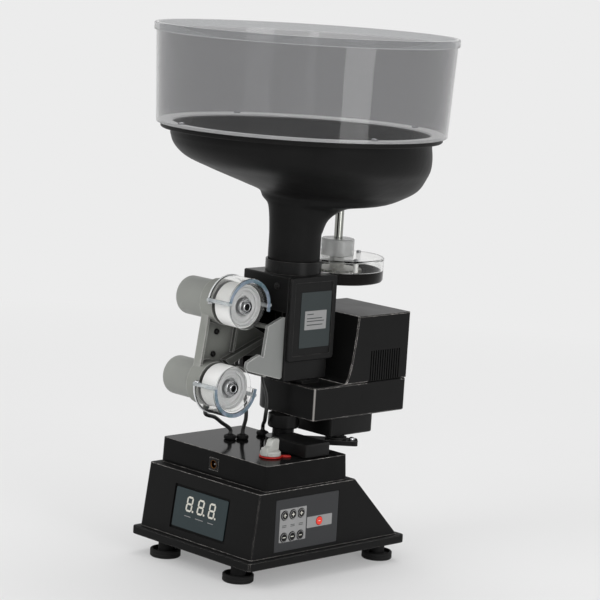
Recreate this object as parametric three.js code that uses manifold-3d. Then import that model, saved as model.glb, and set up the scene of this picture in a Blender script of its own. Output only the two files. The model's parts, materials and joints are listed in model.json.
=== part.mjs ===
// Table tennis robot: a ball hopper on a panning head, over a weighted base with the controls.
// Units are millimetres. +Z is up, -Y is the way the balls leave, and the origin is on the pan
// axis at the level of the feet. Every piece is its own mesh, and what fits together shares the
// same named sizes and clearances.
import * as THREE from 'three';
import { mergeVertices } from 'three/addons/utils/BufferGeometryUtils.js';
import Module from 'manifold-3d';

const wasm = await Module();
wasm.setup();

// Driving sizes: fits and shared values
const gap = 0.3;              // seat clearance between neighbouring pieces
const running = 0.5;          // clearance beside a piece that turns or slides
const overrun = 2;            // how far a cutting tool runs past a face
const wall = 3;               // moulded housings
const cornerRadius = 4;       // upright corners of the mouldings
const edgeChamfer = 1;        // broken edges of the mouldings
const ballRadius = 20;        // a 40 mm table tennis ball
const ballClearance = 3.5;    // round the ball in the neck

// Driving sizes: base
const plateWidth = 173.6;
const plateDepth = 217.5;
const plateFront = -119.9;    // front edge, from the pan axis
const plateThickness = 9;
const footRadius = 15.5;
const footDiscHeight = 8;
const footRimWidth = 2.6;
const footRecess = 3;
const footNeckRadius = 7.5;
const footNeckHeight = 9.7;
const footStudRadius = 4;
const footStudLength = 9.6;
const footFrontSideInset = 33.1;  // foot's centre to the plate's side
const footRearSideInset = 20.8;
const footInset = 2;          // disc edge to the plate's front or back edge
const shellSideInset = 5;
const shellFrontInset = 6.2;
const shellBackInset = 6;
const shellHeight = 64.4;
const shellSideDraft = 0.8;
const shellFrontSlope = 8.4;  // how far the front leans back over its height
const shellBackSlope = 64.9;  // the long slope behind
const caseSideInset = 4.3;    // upper tier, from the shell's top edge
const caseFrontInset = 10.9;
const caseBackInset = 8.6;
const caseHeight = 25.3;
const caseSideDraft = 0.4;
const caseFrontDraft = 0.8;
const caseBackDraft = 2.1;

// Driving sizes: display, keypad, socket, knob and lead glands
const displayX = 1.5;
const displayRise = 29.5;     // window centre above the shell's bottom
const displayWidth = 75.5;
const displayHeight = 39.5;
const displayThickness = 1.4;
const displayMargin = 2.4;    // recess round the window
const recessDepth = 2;
const moduleWidth = 52;
const moduleHeight = 19;
const moduleDepth = 9;
const keypadWidth = 86;
const keypadFootMargin = 4;   // panel's bottom edge above the shell's bottom
const keypadHeadMargin = 8.4; // panel's top edge below the shell's top
const keypadThickness = 1.8;
const keypadY = -40;
const keypadLedge = 4;        // wall left behind the panel's edge
const keyRadius = 4.6;
const keyClearance = 0.3;
const keyPitchY = 11.2;
const keyPitchZ = 22;
const keyFirstY = -19.7;      // middle column, from the panel's centre
const keyMiddleZ = -1.2;
const keyProud = 0.8;
const keyTravel = 0.7;
const powerRadius = 4.1;
const powerY = 17;
const powerZ = -1.4;
const boardThickness = 1.6;
const domeRadius = 1.8;
const jackX = 1.2;
const jackWidth = 12;
const jackHeight = 11;
const jackDepth = 11;
const jackProud = 0.6;
const jackBoreRadius = 3.6;
const jackBoreDepth = 8;
const knobX = 46;
const knobY = -61;
const knobRadius = 10.3;
const knobSkirtHeight = 4.5;
const knobGripWidth = 7.6;
const knobGripHeight = 11.4;
const knobShaftRadius = 3;
const knobShaftLength = 9;
const ringRadius = 11.2;
const ringHeight = 1.4;
const ringPointerReach = 20.5;
const ringPointerWidth = 2.6;
const leadRadius = 2;
const leadStraight = 4;       // a lead's ends run straight for a diameter
const leadHeadPlace = [-9, -24];
const leadBends = {           // two places on each lead's way down: x, y and rise over the deck
  lower: [[-29, -68, 26], [-35.5, -52, 17.5]],
  upper: [[-26, -32, 47.7], [-25, -29, 22.7]],
  head: [[-5, -20.5, 46], [-7, -19.5, 25]],
};
const grommetRadius = 5;
const grommetFlange = 1.4;
const grommetNeckRadius = 3.4;
const grommetNeckHeight = 3.6;
const grommetPlaces = { lower: [-34.3, -40.8], upper: [-28.1, -29.4], head: [-31.2, 1.6] };

// Driving sizes: plinth, swing arm and post
const plinthLeft = 20;
const plinthWidth = 51.6;
const plinthFront = -37;
const plinthDepth = 33;
const plinthHeight = 13.4;
const postRadius = 11;
const postShoulder = 14.6;
const journalRadius = 6;
const collarRadius = 16;
const collarHeight = 13.7;
const armThickness = 5;
const armPadRadius = 17.5;
const armWidth = 18;
const armReach = 76;
const armScrewReach = 70;
const armScrewRadius = 3;
const armScrewHeight = 1.8;
const swingBearing = 48;      // degrees, direction of the arm from the pan axis
const crankReach = 53.8;      // crank centre from the pan axis
const crankThrow = 8;
const crankRadius = 11;
const crankThickness = 2.3;
const crankPinRadius = 2.5;
const crankPinLength = 7;
const crankShaftRadius = 3;
const crankShaftLength = 11;
const slotClearance = 0.9;    // the slot is this much wider than the pin on each side

// Driving sizes: head
const trayWidth = 93.4;
const trayFront = -5;
const trayDepth = 132.6;
const trayHeight = 33.5;
const trayNoseRadius = 30;    // the round front corner on the motor side
const gearboxLeft = -12;
const gearboxWidth = 52;
const gearboxFront = 28;
const gearboxDepth = 61;
const gearboxHeight = 20.2;
const housingFoot = 38;       // front of the upper housing at its bottom
const housingBrow = 52;       // front of it at its top
const housingFlare = 9;       // how far the front's curve bends in
const housingHeight = 68.8;
const ventCount = 13;
const ventPitch = 3.4;
const ventWidth = 1.6;
const ventHeight = 31;
const ventFront = 72.5;
const blockLeft = -38;
const blockRight = 28.3;
const blockFront = -32;
const blockBack = 27.5;
const blockHeight = 105;
const blockLift = 6;          // foot of the block over the tray
const blockFootInset = 5;
const pivotRise = 24.1;       // tilt axis over the block's bottom
const windowHeight = 69.5;    // opening of the block's front, from its bottom
const armPocketDepth = 42;    // how far the tilt arms reach into the block
const pivotBoltRadius = 3;
const pivotHeadRadius = 6.5;
const pivotHeadHeight = 5;
const coverThickness = 3.8;
const coverFront = -32;
const coverDepth = 64;
const coverHeight = 85;
const coverFrame = 6;
const coverRecess = 1.2;
const socketRadius = 28.2;
const socketHeight = 13;
const bracketWidth = 30;
const bracketDepth = 31;
const bracketThickness = 8;
const bracketDrop = 14.3;     // its top below the block's top

// Driving sizes: hopper
const neckRadius = 26.2;
const neckHeight = 25.7;
const spigotLength = 12;
const bowlDepth = 94;
const bowlRimRise = 6;
const bowlRadius = 130.2;
const bowlWall = 3;
const bowlSides = 28;
const flangeRadius = 140.2;
const flangeThickness = 4.7;
const wallFootRadius = 144.8;
const wallTopRadius = 149;
const wallHeight = 97.4;
const wallThickness = 2.6;
const wallFootWidth = 16;
const wallFootThickness = 2;
const lipWidth = 2.2;
const lipHeight = 8;

// Driving sizes: agitator drive
const stirX = -15;
const stirY = 77;
const gearCaseRadius = 48.5;
const gearCaseHeight = 12.3;
const gearCoverHeight = 12.5;
const gearCaseWall = 2.5;
const gearCaseFloor = 2;
const gearBossRadius = 9;
const gearBossHeight = 3.3;
const capRadius = 17;
const capHeight = 17.1;
const rodRadius = 4.5;
const gearTeeth = 36;
const pinionTeeth = 8;
const gearDistance = 31;
const pinionBearing = -110.8;
const toothHeight = 1.8;
const gearWidth = 4;
const gearHubRadius = 7.4;
const gearHubHeight = 17;
const pinionShaftRadius = 1.5;
const pinionShaftLength = 16;
const driveMotorRadius = 12;
const driveMotorLength = 17.4;
const stirHubRadius = 8;
const stirHubHeight = 13;
const stirFloorClearance = 5;
const stirReach = 36;
const stirArmWidth = 7;
const stirArmThickness = 3;
const stirTipHeight = 7;
const stirArms = 3;

// Driving sizes: wheel unit, in its own frame on the tilt axis
const exitAngle = 8.4;        // degrees above level at rest
const wheelReach = 80.2;      // wheel axes ahead of the tilt axis
const wheelSpread = 40.6;     // wheel axes above and below the exit line
const wheelRadius = 21.7;
const wheelWidth = 20;
const tyreDepth = 5.5;
const hubDish = 2.5;
const hubBossRadius = 7;
const hubBossLength = 11;
const hubBoreRadius = 2.6;
const hubBoreDepth = 4;
const spindleRadius = 2.5;
const frameX = -31;           // back face of the frame plate
const frameThickness = 3;
const frameRim = 7;
const frameRimThickness = 3.2;
const framePocket = 96.9;     // front face ahead of the tilt axis
const bossRadius = 22.5;
const bossLength = 14.5;
const motorRadius = 19.5;
const motorLength = 41;
const motorEndRound = 5;
const guardInner = 26.5;
const guardThickness = 2;
const guardLipInner = 23.8;
const guardLipThickness = 2;
const guardFront = 17;
const guardBarThickness = 4;
const guardBarReach = 30.5;
const guardSeatInner = 17;
const yokeX = 21.2;
const yokeThickness = 4;
const eyeRadius = 9;
const tieRadius = 2.5;
const tieEarRadius = 5.5;
const tieY = -48.1;           // the two tie bars ahead of the tilt axis
const leadGlandRadius = 3.2;
const leadGlandLength = 4;

const degrees = Math.PI / 180;
const half = 1 / 2;
const weldTolerance = 1e-4;
const shared = new THREE.Vector3();

// Levels, stacked from the floor up
const plateBottom = footDiscHeight + footNeckHeight + gap;
const plateTop = plateBottom + plateThickness;
const shellBottom = plateTop + gap;
const shellTop = shellBottom + shellHeight;
const keypadHeight = shellHeight - keypadFootMargin - keypadHeadMargin;
const keypadRise = keypadFootMargin + keypadHeight * half;   // its centre above the shell's bottom
const caseBottom = shellTop + gap;
const deck = caseBottom + caseHeight;
const onDeck = deck + gap;
const shoulder = onDeck + postShoulder;
const collarBottom = shoulder + gap;
const trayBottom = collarBottom + collarHeight + gap;
const trayTop = trayBottom + trayHeight;
const housingBottom = trayTop + gap;
const housingTop = housingBottom + housingHeight;
const blockBottom = trayTop + blockLift;
const blockTop = blockBottom + blockHeight;
const pivotZ = blockBottom + pivotRise;
const socketTop = blockTop + socketHeight;
const neckBottom = socketTop + gap;
const bowlBottom = neckBottom + neckHeight;
const bowlTop = bowlBottom + bowlDepth;
const flangeBottom = bowlTop + bowlRimRise;
const flangeTop = flangeBottom + flangeThickness;
const wallBottom = flangeTop + gap;
const bracketTop = blockTop - bracketDrop;
const gearCaseBottom = bracketTop + gap;
const gearCaseTop = gearCaseBottom + gearCaseHeight;
const gearCoverBottom = gearCaseTop + gap;
const gearCoverTop = gearCoverBottom + gearCoverHeight;
const capBottom = gearCoverTop + gap;
const capTop = capBottom + capHeight;

// Materials
const paint = (color, roughness, metalness = 0, opacity = 1) =>
  new THREE.MeshStandardMaterial({ color, roughness, metalness, opacity, transparent: opacity < 1 });
const blackSatin = paint(0x17181a, 0.45);
const blackTextured = paint(0x1b1c1e, 0.75);
const blackGloss = paint(0x101113, 0.2);
const rubber = paint(0x0d0d0e, 0.9);
const greyPlastic = paint(0xa9a9a2, 0.55);
const lightGrey = paint(0xc9c9c4, 0.5);
const whiteTyre = paint(0xe9e9e6, 0.8);
const clearPlastic = paint(0xe4eef2, 0.08, 0, 0.35);
const smokyPlastic = paint(0x8c8f92, 0.1, 0, 0.4);
const chrome = paint(0xd8dadd, 0.15, 1);
const steel = paint(0xa7a9ac, 0.35, 1);
const brass = paint(0xb08d45, 0.3, 1);
const blueGrey = paint(0x3d5a63, 0.5);
const darkGrey = paint(0x3c3f42, 0.6);
const redPlastic = paint(0xd8341f, 0.4);
const boardGreen = paint(0x1d5b3a, 0.6);
const leadBlack = paint(0x0c0c0d, 0.6);

// Shapes from three.js geometry, joined and cut as solids

function welded(geometry) {
  const bare = geometry.clone();
  for (const name of Object.keys(bare.attributes)) {
    if (name !== 'position') bare.deleteAttribute(name);
  }
  const merged = mergeVertices(bare, weldTolerance);
  const kept = [];
  const faces = merged.index.array;
  for (let i = 0; i < faces.length; i += 3) {
    const [a, b, c] = [faces[i], faces[i + 1], faces[i + 2]];
    if (a !== b && b !== c && c !== a) kept.push(a, b, c);
  }
  merged.setIndex(kept);
  return merged;
}

function volume(geometry) {
  const at = geometry.attributes.position;
  const faces = geometry.index.array;
  const [a, b, c] = [new THREE.Vector3(), new THREE.Vector3(), new THREE.Vector3()];
  let total = 0;
  for (let i = 0; i < faces.length; i += 3) {
    a.fromBufferAttribute(at, faces[i]);
    b.fromBufferAttribute(at, faces[i + 1]);
    c.fromBufferAttribute(at, faces[i + 2]);
    total += a.dot(shared.crossVectors(b, c));
  }
  return total;
}

function solid(geometry) {
  const mesh = welded(geometry);
  const faces = Array.from(mesh.index.array);
  if (volume(mesh) < 0) faces.reverse();
  return new wasm.Manifold(new wasm.Mesh({
    numProp: 3,
    vertProperties: new Float32Array(mesh.attributes.position.array),
    triVerts: new Uint32Array(faces),
  }));
}

function geometryOf(body) {
  const mesh = body.getMesh();
  const geometry = new THREE.BufferGeometry();
  geometry.setAttribute('position', new THREE.Float32BufferAttribute(mesh.vertProperties, 3));
  geometry.setIndex(new THREE.BufferAttribute(mesh.triVerts, 1));
  return geometry;
}

const join = (...shapes) => geometryOf(shapes.map(solid).reduce((whole, next) => whole.add(next)));
const cut = (shape, ...tools) =>
  geometryOf(tools.map(solid).reduce((whole, next) => whole.subtract(next), solid(shape)));

// A box by its low corner and size.
function block([x, y, z], [width, depth, height]) {
  const box = new THREE.BoxGeometry(width, depth, height);
  return box.translate(x + width * half, y + depth * half, z + height * half);
}

// An upright disc or rod, standing on its base point.
function rod([x, y, z], radius, height, sides = 16) {
  const shape = new THREE.CylinderGeometry(radius, radius, height, sides);
  return shape.rotateX(Math.PI * half).translate(x, y, z + height * half);
}

// A rod along +X from a point.
function rodX([x, y, z], radius, length, sides = 16) {
  const shape = new THREE.CylinderGeometry(radius, radius, length, sides);
  return shape.rotateZ(-Math.PI * half).translate(x + length * half, y, z);
}

// A revolved profile of [radius, height] points about the Z axis.
function turned(profile, sides = 24) {
  const shape = new THREE.LatheGeometry(profile.map(([r, z]) => new THREE.Vector2(r, z)), sides);
  return shape.rotateX(Math.PI * half);
}

// The same about the X axis: [radius, x] points.
const turnedX = (profile, sides = 24) => turned(profile, sides).rotateY(Math.PI * half);

// A rectangle in the plane with round corners, radii anticlockwise from the low corner.
function roundedRectangle(x0, y0, x1, y1, radii) {
  const [a, b, c, d] = Array.isArray(radii) ? radii : [radii, radii, radii, radii];
  const shape = new THREE.Shape();
  shape.moveTo(x0 + a, y0);
  shape.lineTo(x1 - b, y0).quadraticCurveTo(x1, y0, x1, y0 + b);
  shape.lineTo(x1, y1 - c).quadraticCurveTo(x1, y1, x1 - c, y1);
  shape.lineTo(x0 + d, y1).quadraticCurveTo(x0, y1, x0, y1 - d);
  shape.lineTo(x0, y0 + a).quadraticCurveTo(x0, y0, x0 + a, y0);
  return shape;
}

// A flat outline given height, with broken edges where a chamfer is asked for.
function prism(shape, low, height, chamfer = 0, curveSegments = 5) {
  const options = { depth: height - 2 * chamfer, bevelEnabled: chamfer > 0, curveSegments,
    bevelSegments: 1, bevelSize: chamfer, bevelThickness: chamfer, bevelOffset: -chamfer };
  return new THREE.ExtrudeGeometry(shape, options).translate(0, 0, low + chamfer);
}

// A side outline in Y and Z, given width along X.
function slab(shape, left, width, chamfer = 0, curveSegments = 6) {
  const [y, z, x] = [new THREE.Vector3(0, 1, 0), new THREE.Vector3(0, 0, 1), new THREE.Vector3(1, 0, 0)];
  const turn = new THREE.Matrix4().makeBasis(y, z, x);
  return prism(shape, 0, width, chamfer, curveSegments).applyMatrix4(turn).translate(left, 0, 0);
}

function outline(points) {
  return new THREE.Shape(points.map(([u, v]) => new THREE.Vector2(u, v)));
}

// A housing with four sloping sides, between a rectangle at its foot and one at its top.
function tapered(foot, top, low, high, radius) {
  const shape = prism(roundedRectangle(foot.x0, foot.y0, foot.x1, foot.y1, radius), low, high - low);
  const at = shape.attributes.position;
  const middle = (low + high) * half;
  for (let i = 0; i < at.count; i++) {
    if (at.getZ(i) < middle) continue;
    const u = (at.getX(i) - foot.x0) / (foot.x1 - foot.x0);
    const v = (at.getY(i) - foot.y0) / (foot.y1 - foot.y0);
    at.setX(i, top.x0 + u * (top.x1 - top.x0));
    at.setY(i, top.y0 + v * (top.y1 - top.y0));
  }
  return shape;
}

const inset = (r, by) => ({ x0: r.x0 + by, x1: r.x1 - by, y0: r.y0 + by, y1: r.y1 - by });

const robot = new THREE.Group();

function add(name, geometry, material, parent = robot) {
  const mesh = new THREE.Mesh(welded(geometry), material);
  mesh.name = name;
  parent.add(mesh);
  return mesh;
}

// Feet: a disc with a raised rim on a threaded stud that screws into the base plate.
const plateBack = plateFront + plateDepth;
const footPlaces = {
  foot_front_left: [footFrontSideInset - plateWidth * half, plateFront + footInset + footRadius],
  foot_front_right: [plateWidth * half - footFrontSideInset, plateFront + footInset + footRadius],
  foot_rear_left: [footRearSideInset - plateWidth * half, plateBack - footInset - footRadius],
  foot_rear_right: [plateWidth * half - footRearSideInset, plateBack - footInset - footRadius],
};

function foot() {
  const rimInner = footRadius - footRimWidth;
  const neckTop = footDiscHeight + footNeckHeight;
  return turned([
    [0, 0], [footRadius - edgeChamfer, 0], [footRadius, edgeChamfer],
    [footRadius, footDiscHeight - edgeChamfer], [footRadius - edgeChamfer, footDiscHeight],
    [rimInner, footDiscHeight], [rimInner, footDiscHeight - footRecess],
    [footNeckRadius, footDiscHeight - footRecess], [footNeckRadius, neckTop],
    [footStudRadius, neckTop], [footStudRadius, neckTop + footStudLength],
    [0, neckTop + footStudLength],
  ], 12);
}

for (const [name, [x, y]] of Object.entries(footPlaces)) add(name, foot().translate(x, y, 0), rubber);

// Base plate
function basePlate() {
  const side = plateWidth * half;
  const flat = roundedRectangle(-side, plateFront, side, plateBack, cornerRadius);
  const holes = Object.values(footPlaces).map(([x, y]) =>
    rod([x, y, plateBottom - overrun], footStudRadius + gap, plateThickness + 2 * overrun, 12));
  return cut(prism(flat, plateBottom, plateThickness, edgeChamfer, 3), ...holes);
}
add('base_plate', basePlate(), blackTextured);

// Lower housing: a hollow with sloping walls, open downwards on the plate
const shellFoot = {
  x0: shellSideInset - plateWidth * half, x1: plateWidth * half - shellSideInset,
  y0: plateFront + shellFrontInset, y1: plateBack - shellBackInset,
};
const shellHead = {
  x0: shellFoot.x0 + shellSideDraft, x1: shellFoot.x1 - shellSideDraft,
  y0: shellFoot.y0 + shellFrontSlope, y1: shellFoot.y1 - shellBackSlope,
};
const frontLean = Math.atan(shellFrontSlope / shellHeight);
const sideLean = Math.atan(shellSideDraft / shellHeight);

// Frame of the display on the front wall: local -Y looks out of the wall.
const displayFrame = new THREE.Group();
displayFrame.position.set(displayX, shellFoot.y0 + shellFrontSlope * displayRise / shellHeight,
  shellBottom + displayRise);
displayFrame.rotation.x = -frontLean;
displayFrame.updateMatrix();

// Frame of the keypad on the right wall: local +X looks out of the wall.
const keypadFrame = new THREE.Group();
keypadFrame.position.set(shellFoot.x1 - shellSideDraft * keypadRise / shellHeight, keypadY,
  shellBottom + keypadRise);
keypadFrame.rotation.y = -sideLean;
keypadFrame.updateMatrix();
robot.add(displayFrame, keypadFrame);

// A flat pocket or plate on the front wall: its depth is measured inwards along +Y.
const frontPad = (width, height, out, depth) =>
  block([-width * half, -out, -height * half], [width, depth + out, height]);
// The same on the right wall, inwards along -X.
const sidePad = (width, height, out, depth) =>
  block([-depth, -width * half, -height * half], [depth + out, width, height]);

function baseShell() {
  const outer = tapered(shellFoot, shellHead, shellBottom, shellTop, cornerRadius);
  const inner = tapered(inset(shellFoot, wall), inset(shellHead, wall),
    shellBottom - gap * half, shellTop - wall, cornerRadius);
  const windowWidth = displayWidth + 2 * displayMargin;
  const windowHeight = displayHeight + 2 * displayMargin;
  const displayCuts = [
    frontPad(windowWidth, windowHeight, overrun, recessDepth),
    frontPad(moduleWidth + 2 * gap, moduleHeight + 2 * gap, overrun, wall + overrun),
  ].map((tool) => tool.applyMatrix4(displayFrame.matrix));
  const keypadCuts = [
    sidePad(keypadWidth + 2 * gap, keypadHeight + 2 * gap, overrun, keypadThickness + gap),
    sidePad(keypadWidth - 2 * keypadLedge, keypadHeight - 2 * keypadLedge, overrun, wall + overrun),
  ].map((tool) => tool.applyMatrix4(keypadFrame.matrix));
  return cut(outer, inner, ...displayCuts, ...keypadCuts);
}
add('base_shell', baseShell(), blackTextured);

// Display: a tinted window in a shallow recess, and the digit module behind it
const windowBack = recessDepth - gap;
add('display_window', prism(
  roundedRectangle(-displayWidth * half, -displayHeight * half, displayWidth * half,
    displayHeight * half, edgeChamfer), 0, displayThickness, 0, 2)
  .rotateX(Math.PI * half).translate(0, windowBack, 0), blueGrey, displayFrame);
add('display_module', block([-moduleWidth * half, windowBack + gap, -moduleHeight * half],
  [moduleWidth, moduleDepth, moduleHeight]), darkGrey, displayFrame);

// Keypad: a panel with round keys that travel in its holes, over a switch board
const keyPlaces = {};
for (const [column, y] of [[1, keyFirstY - keyPitchY], [2, keyFirstY], [3, keyFirstY + keyPitchY]]) {
  keyPlaces[`key_up_${column}`] = [y, keyMiddleZ + keyPitchZ * half];
  keyPlaces[`key_down_${column}`] = [y, keyMiddleZ - keyPitchZ * half];
}
const panelBack = -keypadThickness;

function keypadPanel() {
  const [w, h] = [keypadWidth * half, keypadHeight * half];
  const plate = slab(roundedRectangle(-w, -h, w, h, edgeChamfer), panelBack, keypadThickness, 0, 2);
  const deep = keypadThickness + 2 * overrun;
  const holes = Object.values(keyPlaces).map(([y, z]) =>
    rodX([panelBack - overrun, y, z], keyRadius + keyClearance, deep, 12));
  holes.push(rodX([panelBack - overrun, powerY, powerZ], powerRadius + keyClearance, deep, 12));
  return cut(plate, ...holes);
}
add('keypad_panel', keypadPanel(), darkGrey, keypadFrame);

function keyCap(radius, y, z) {
  const cap = [[0, panelBack], [radius, panelBack], [radius, keyProud - edgeChamfer * half],
    [radius - edgeChamfer * half, keyProud], [0, keyProud]];
  return turnedX(cap, 12).translate(0, y, z);
}
for (const [name, [y, z]] of Object.entries(keyPlaces)) {
  add(name, keyCap(keyRadius, y, z), blackSatin, keypadFrame);
}
add('power_button', keyCap(powerRadius, powerY, powerZ), redPlastic, keypadFrame);

function controlBoard() {
  const face = -wall - gap;
  const plate = sidePad(keypadWidth, keypadHeight - keypadLedge, 0, boardThickness)
    .translate(face, 0, 0);
  const domeTop = panelBack - keyTravel - gap;
  const dome = ([y, z]) =>
    rodX([face - boardThickness * half, y, z], domeRadius, domeTop - face + boardThickness * half, 6);
  return join(plate, ...Object.values(keyPlaces).map(dome), dome([powerY, powerZ]));
}
add('control_board', controlBoard(), boardGreen, keypadFrame);

// Upper tier, with the glossy top that carries the knob, the post and the lead glands
const caseFoot = {
  x0: shellHead.x0 + caseSideInset, x1: shellHead.x1 - caseSideInset,
  y0: shellHead.y0 + caseFrontInset, y1: shellHead.y1 - caseBackInset,
};
const caseHead = {
  x0: caseFoot.x0 + caseSideDraft, x1: caseFoot.x1 - caseSideDraft,
  y0: caseFoot.y0 + caseFrontDraft, y1: caseFoot.y1 - caseBackDraft,
};
const jackZ = caseBottom + caseHeight * half - gap;
const jackFace = caseFoot.y0 - jackProud;

function topCase() {
  const outer = tapered(caseFoot, caseHead, caseBottom, deck, cornerRadius);
  const inner = tapered(inset(caseFoot, wall), inset(caseHead, wall),
    caseBottom - gap * half, deck - wall, cornerRadius);
  const jackHole = block(
    [jackX - jackWidth * half - gap, jackFace - overrun, jackZ - jackHeight * half - gap],
    [jackWidth + 2 * gap, jackDepth, jackHeight + 2 * gap]);
  const through = wall + 2 * overrun;
  const knobHole = rod([knobX, knobY, deck - wall - overrun], knobShaftRadius + running, through, 16);
  const glandHoles = Object.values(grommetPlaces).map(([x, y]) =>
    rod([x, y, deck - wall - overrun], grommetNeckRadius + gap, through, 12));
  return cut(outer, inner, jackHole, knobHole, ...glandHoles);
}
add('top_case', topCase(), blackGloss);

// Power socket in the front of the tier
function jackSocket() {
  const corner = [jackX - jackWidth * half, jackFace, jackZ - jackHeight * half];
  const body = block(corner, [jackWidth, jackDepth, jackHeight]);
  const bore = rod([0, 0, -overrun], jackBoreRadius, jackBoreDepth + overrun, 20);
  return cut(body, bore.rotateX(-Math.PI * half).translate(jackX, jackFace, jackZ));
}
add('jack_socket', jackSocket(), brass);

// Lead glands
function grommet([x, y]) {
  const low = deck - wall;
  const rise = onDeck + grommetFlange;
  return turned([
    [0, low], [grommetNeckRadius, low], [grommetNeckRadius, onDeck], [grommetRadius, onDeck],
    [grommetRadius, rise], [grommetNeckRadius, rise + grommetNeckHeight * half],
    [leadRadius + gap, rise + grommetNeckHeight], [0, rise + grommetNeckHeight],
  ], 12).translate(x, y, 0);
}
const glandTop = onDeck + grommetFlange + grommetNeckHeight;
for (const [name, place] of Object.entries(grommetPlaces)) add(`grommet_${name}`, grommet(place), rubber);

// Pointer knob over a red marker ring
const ringBottom = onDeck;
const knobBottom = ringBottom + ringHeight + gap;

function markerRing() {
  const pointer = roundedRectangle(0, -ringPointerWidth * half, ringPointerReach,
    ringPointerWidth * half, ringPointerWidth * half);
  const towards = Math.atan2(plinthFront - plinthDepth * half - knobY, plinthWidth * half);
  return join(
    rod([0, 0, ringBottom], ringRadius, ringHeight, 20),
    prism(pointer, ringBottom, ringHeight, 0, 4).rotateZ(towards),
  );
}
function ringWithHole() {
  const hole = rod([0, 0, ringBottom - overrun], knobShaftRadius + gap, ringHeight + 2 * overrun, 16);
  return cut(markerRing(), hole).translate(knobX, knobY, 0);
}
add('knob_ring', ringWithHole(), redPlastic);

function pointerKnob() {
  const skirt = turned([
    [0, knobBottom], [knobRadius, knobBottom], [knobRadius, knobBottom + knobSkirtHeight * half],
    [knobRadius - edgeChamfer, knobBottom + knobSkirtHeight], [0, knobBottom + knobSkirtHeight],
  ], 20);
  const long = knobRadius - edgeChamfer * half;
  const grip = prism(
    roundedRectangle(-long, -knobGripWidth * half, long, knobGripWidth * half, edgeChamfer),
    knobBottom + knobSkirtHeight * half, knobGripHeight + knobSkirtHeight * half, edgeChamfer, 2);
  const stem = rod([0, 0, knobBottom - knobShaftLength], knobShaftRadius, knobShaftLength + overrun, 12);
  return join(skirt, grip.rotateZ(-Math.PI * half * half), stem).translate(knobX, knobY, 0);
}
add('pointer_knob', pointerKnob(), lightGrey);

// Plinth on the deck, beside the post
add('plinth', prism(
  roundedRectangle(plinthLeft, plinthFront, plinthLeft + plinthWidth, plinthFront + plinthDepth,
    cornerRadius * half), onDeck, plinthHeight, edgeChamfer, 3), blackSatin);

// Fixed arm with a radial slot: the swing crank's pin works against it
const swingTurn = swingBearing * degrees;
const slotHalfWidth = crankPinRadius + slotClearance;

function swingArm() {
  const bar = roundedRectangle(0, -armWidth * half, armReach, armWidth * half,
    [0, cornerRadius, cornerRadius, 0]);
  const slot = roundedRectangle(crankReach - crankThrow - slotHalfWidth, -slotHalfWidth,
    crankReach + crankThrow + slotHalfWidth, slotHalfWidth, slotHalfWidth);
  const low = onDeck - overrun;
  const deep = armThickness + 2 * overrun;
  const body = join(rod([0, 0, onDeck], armPadRadius, armThickness, 24), prism(bar, onDeck, armThickness));
  return cut(body, rod([0, 0, low], postRadius + gap, deep, 24), prism(slot, low, deep)).rotateZ(swingTurn);
}
add('swing_arm', swingArm(), blackSatin);

function armScrew() {
  const [radius, height] = [armScrewRadius, armScrewHeight];
  return turned([[0, 0], [radius, 0], [radius, height * half], [radius * half, height], [0, height]], 12)
    .translate(armScrewReach, 0, onDeck + armThickness + gap).rotateZ(swingTurn);
}
add('arm_screw', armScrew(), chrome);

// Post: a shoulder carries the head's collar, and a journal runs in it
add('post', turned([
  [0, onDeck], [postRadius, onDeck], [postRadius, shoulder], [journalRadius, shoulder],
  [journalRadius, trayBottom - gap], [0, trayBottom - gap],
], 24), blackSatin);

// Head: collar, tray, swing gearbox and upper housing
add('pan_collar', turned([
  [journalRadius + gap, collarBottom], [collarRadius - edgeChamfer, collarBottom],
  [collarRadius, collarBottom + edgeChamfer], [collarRadius, trayBottom - gap],
  [journalRadius + gap, trayBottom - gap], [journalRadius + gap, collarBottom],
], 24), blackSatin);

const trayBack = trayFront + trayDepth;
const housingBack = trayBack;

function lowerTray() {
  const side = trayWidth * half;
  const flat = roundedRectangle(-side, trayFront, side, trayBack,
    [trayNoseRadius, cornerRadius, cornerRadius, cornerRadius]);
  const hollow = block([-side + wall, housingBrow, trayBottom + wall],
    [trayWidth - 2 * wall, trayBack - wall - housingBrow, trayHeight]);
  return cut(prism(flat, trayBottom, trayHeight, edgeChamfer, 8), hollow);
}
add('lower_tray', lowerTray(), blackSatin);

const crankX = crankReach * Math.cos(swingTurn);
const crankY = crankReach * Math.sin(swingTurn);
const crankBottom = onDeck + armThickness + running;
const gearboxBottom = trayBottom - gap - gearboxHeight;

function swingGearbox() {
  const flat = roundedRectangle(gearboxLeft, gearboxFront, gearboxLeft + gearboxWidth,
    gearboxFront + gearboxDepth, cornerRadius);
  const bore = rod([crankX, crankY, gearboxBottom - overrun], crankShaftRadius + gap,
    crankShaftLength + 2 * overrun);
  return cut(prism(flat, gearboxBottom, gearboxHeight, edgeChamfer, 3), bore);
}
add('swing_gearbox', swingGearbox(), blackSatin);

function swingCrank() {
  const disc = rod([0, 0, crankBottom], crankRadius, crankThickness, 20);
  const shaft = rod([0, 0, crankBottom], crankShaftRadius, crankThickness + crankShaftLength, 12);
  const pin = rod([crankThrow, 0, crankBottom - crankPinLength], crankPinRadius,
    crankPinLength + crankThickness * half, 12);
  return join(disc, shaft, pin).rotateZ(swingTurn).translate(crankX, crankY, 0);
}
add('swing_crank', swingCrank(), steel);

function housingProfile(by) {
  const shape = new THREE.Shape();
  const [low, high] = [housingBottom - (by > 0 ? overrun : 0), housingTop - by];
  shape.moveTo(housingFoot + by, low);
  shape.lineTo(housingBack - by, low).lineTo(housingBack - by, high).lineTo(housingBrow + by, high);
  shape.quadraticCurveTo(housingFoot + by + housingFlare, low + housingFlare, housingFoot + by, low);
  return shape;
}

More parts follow.
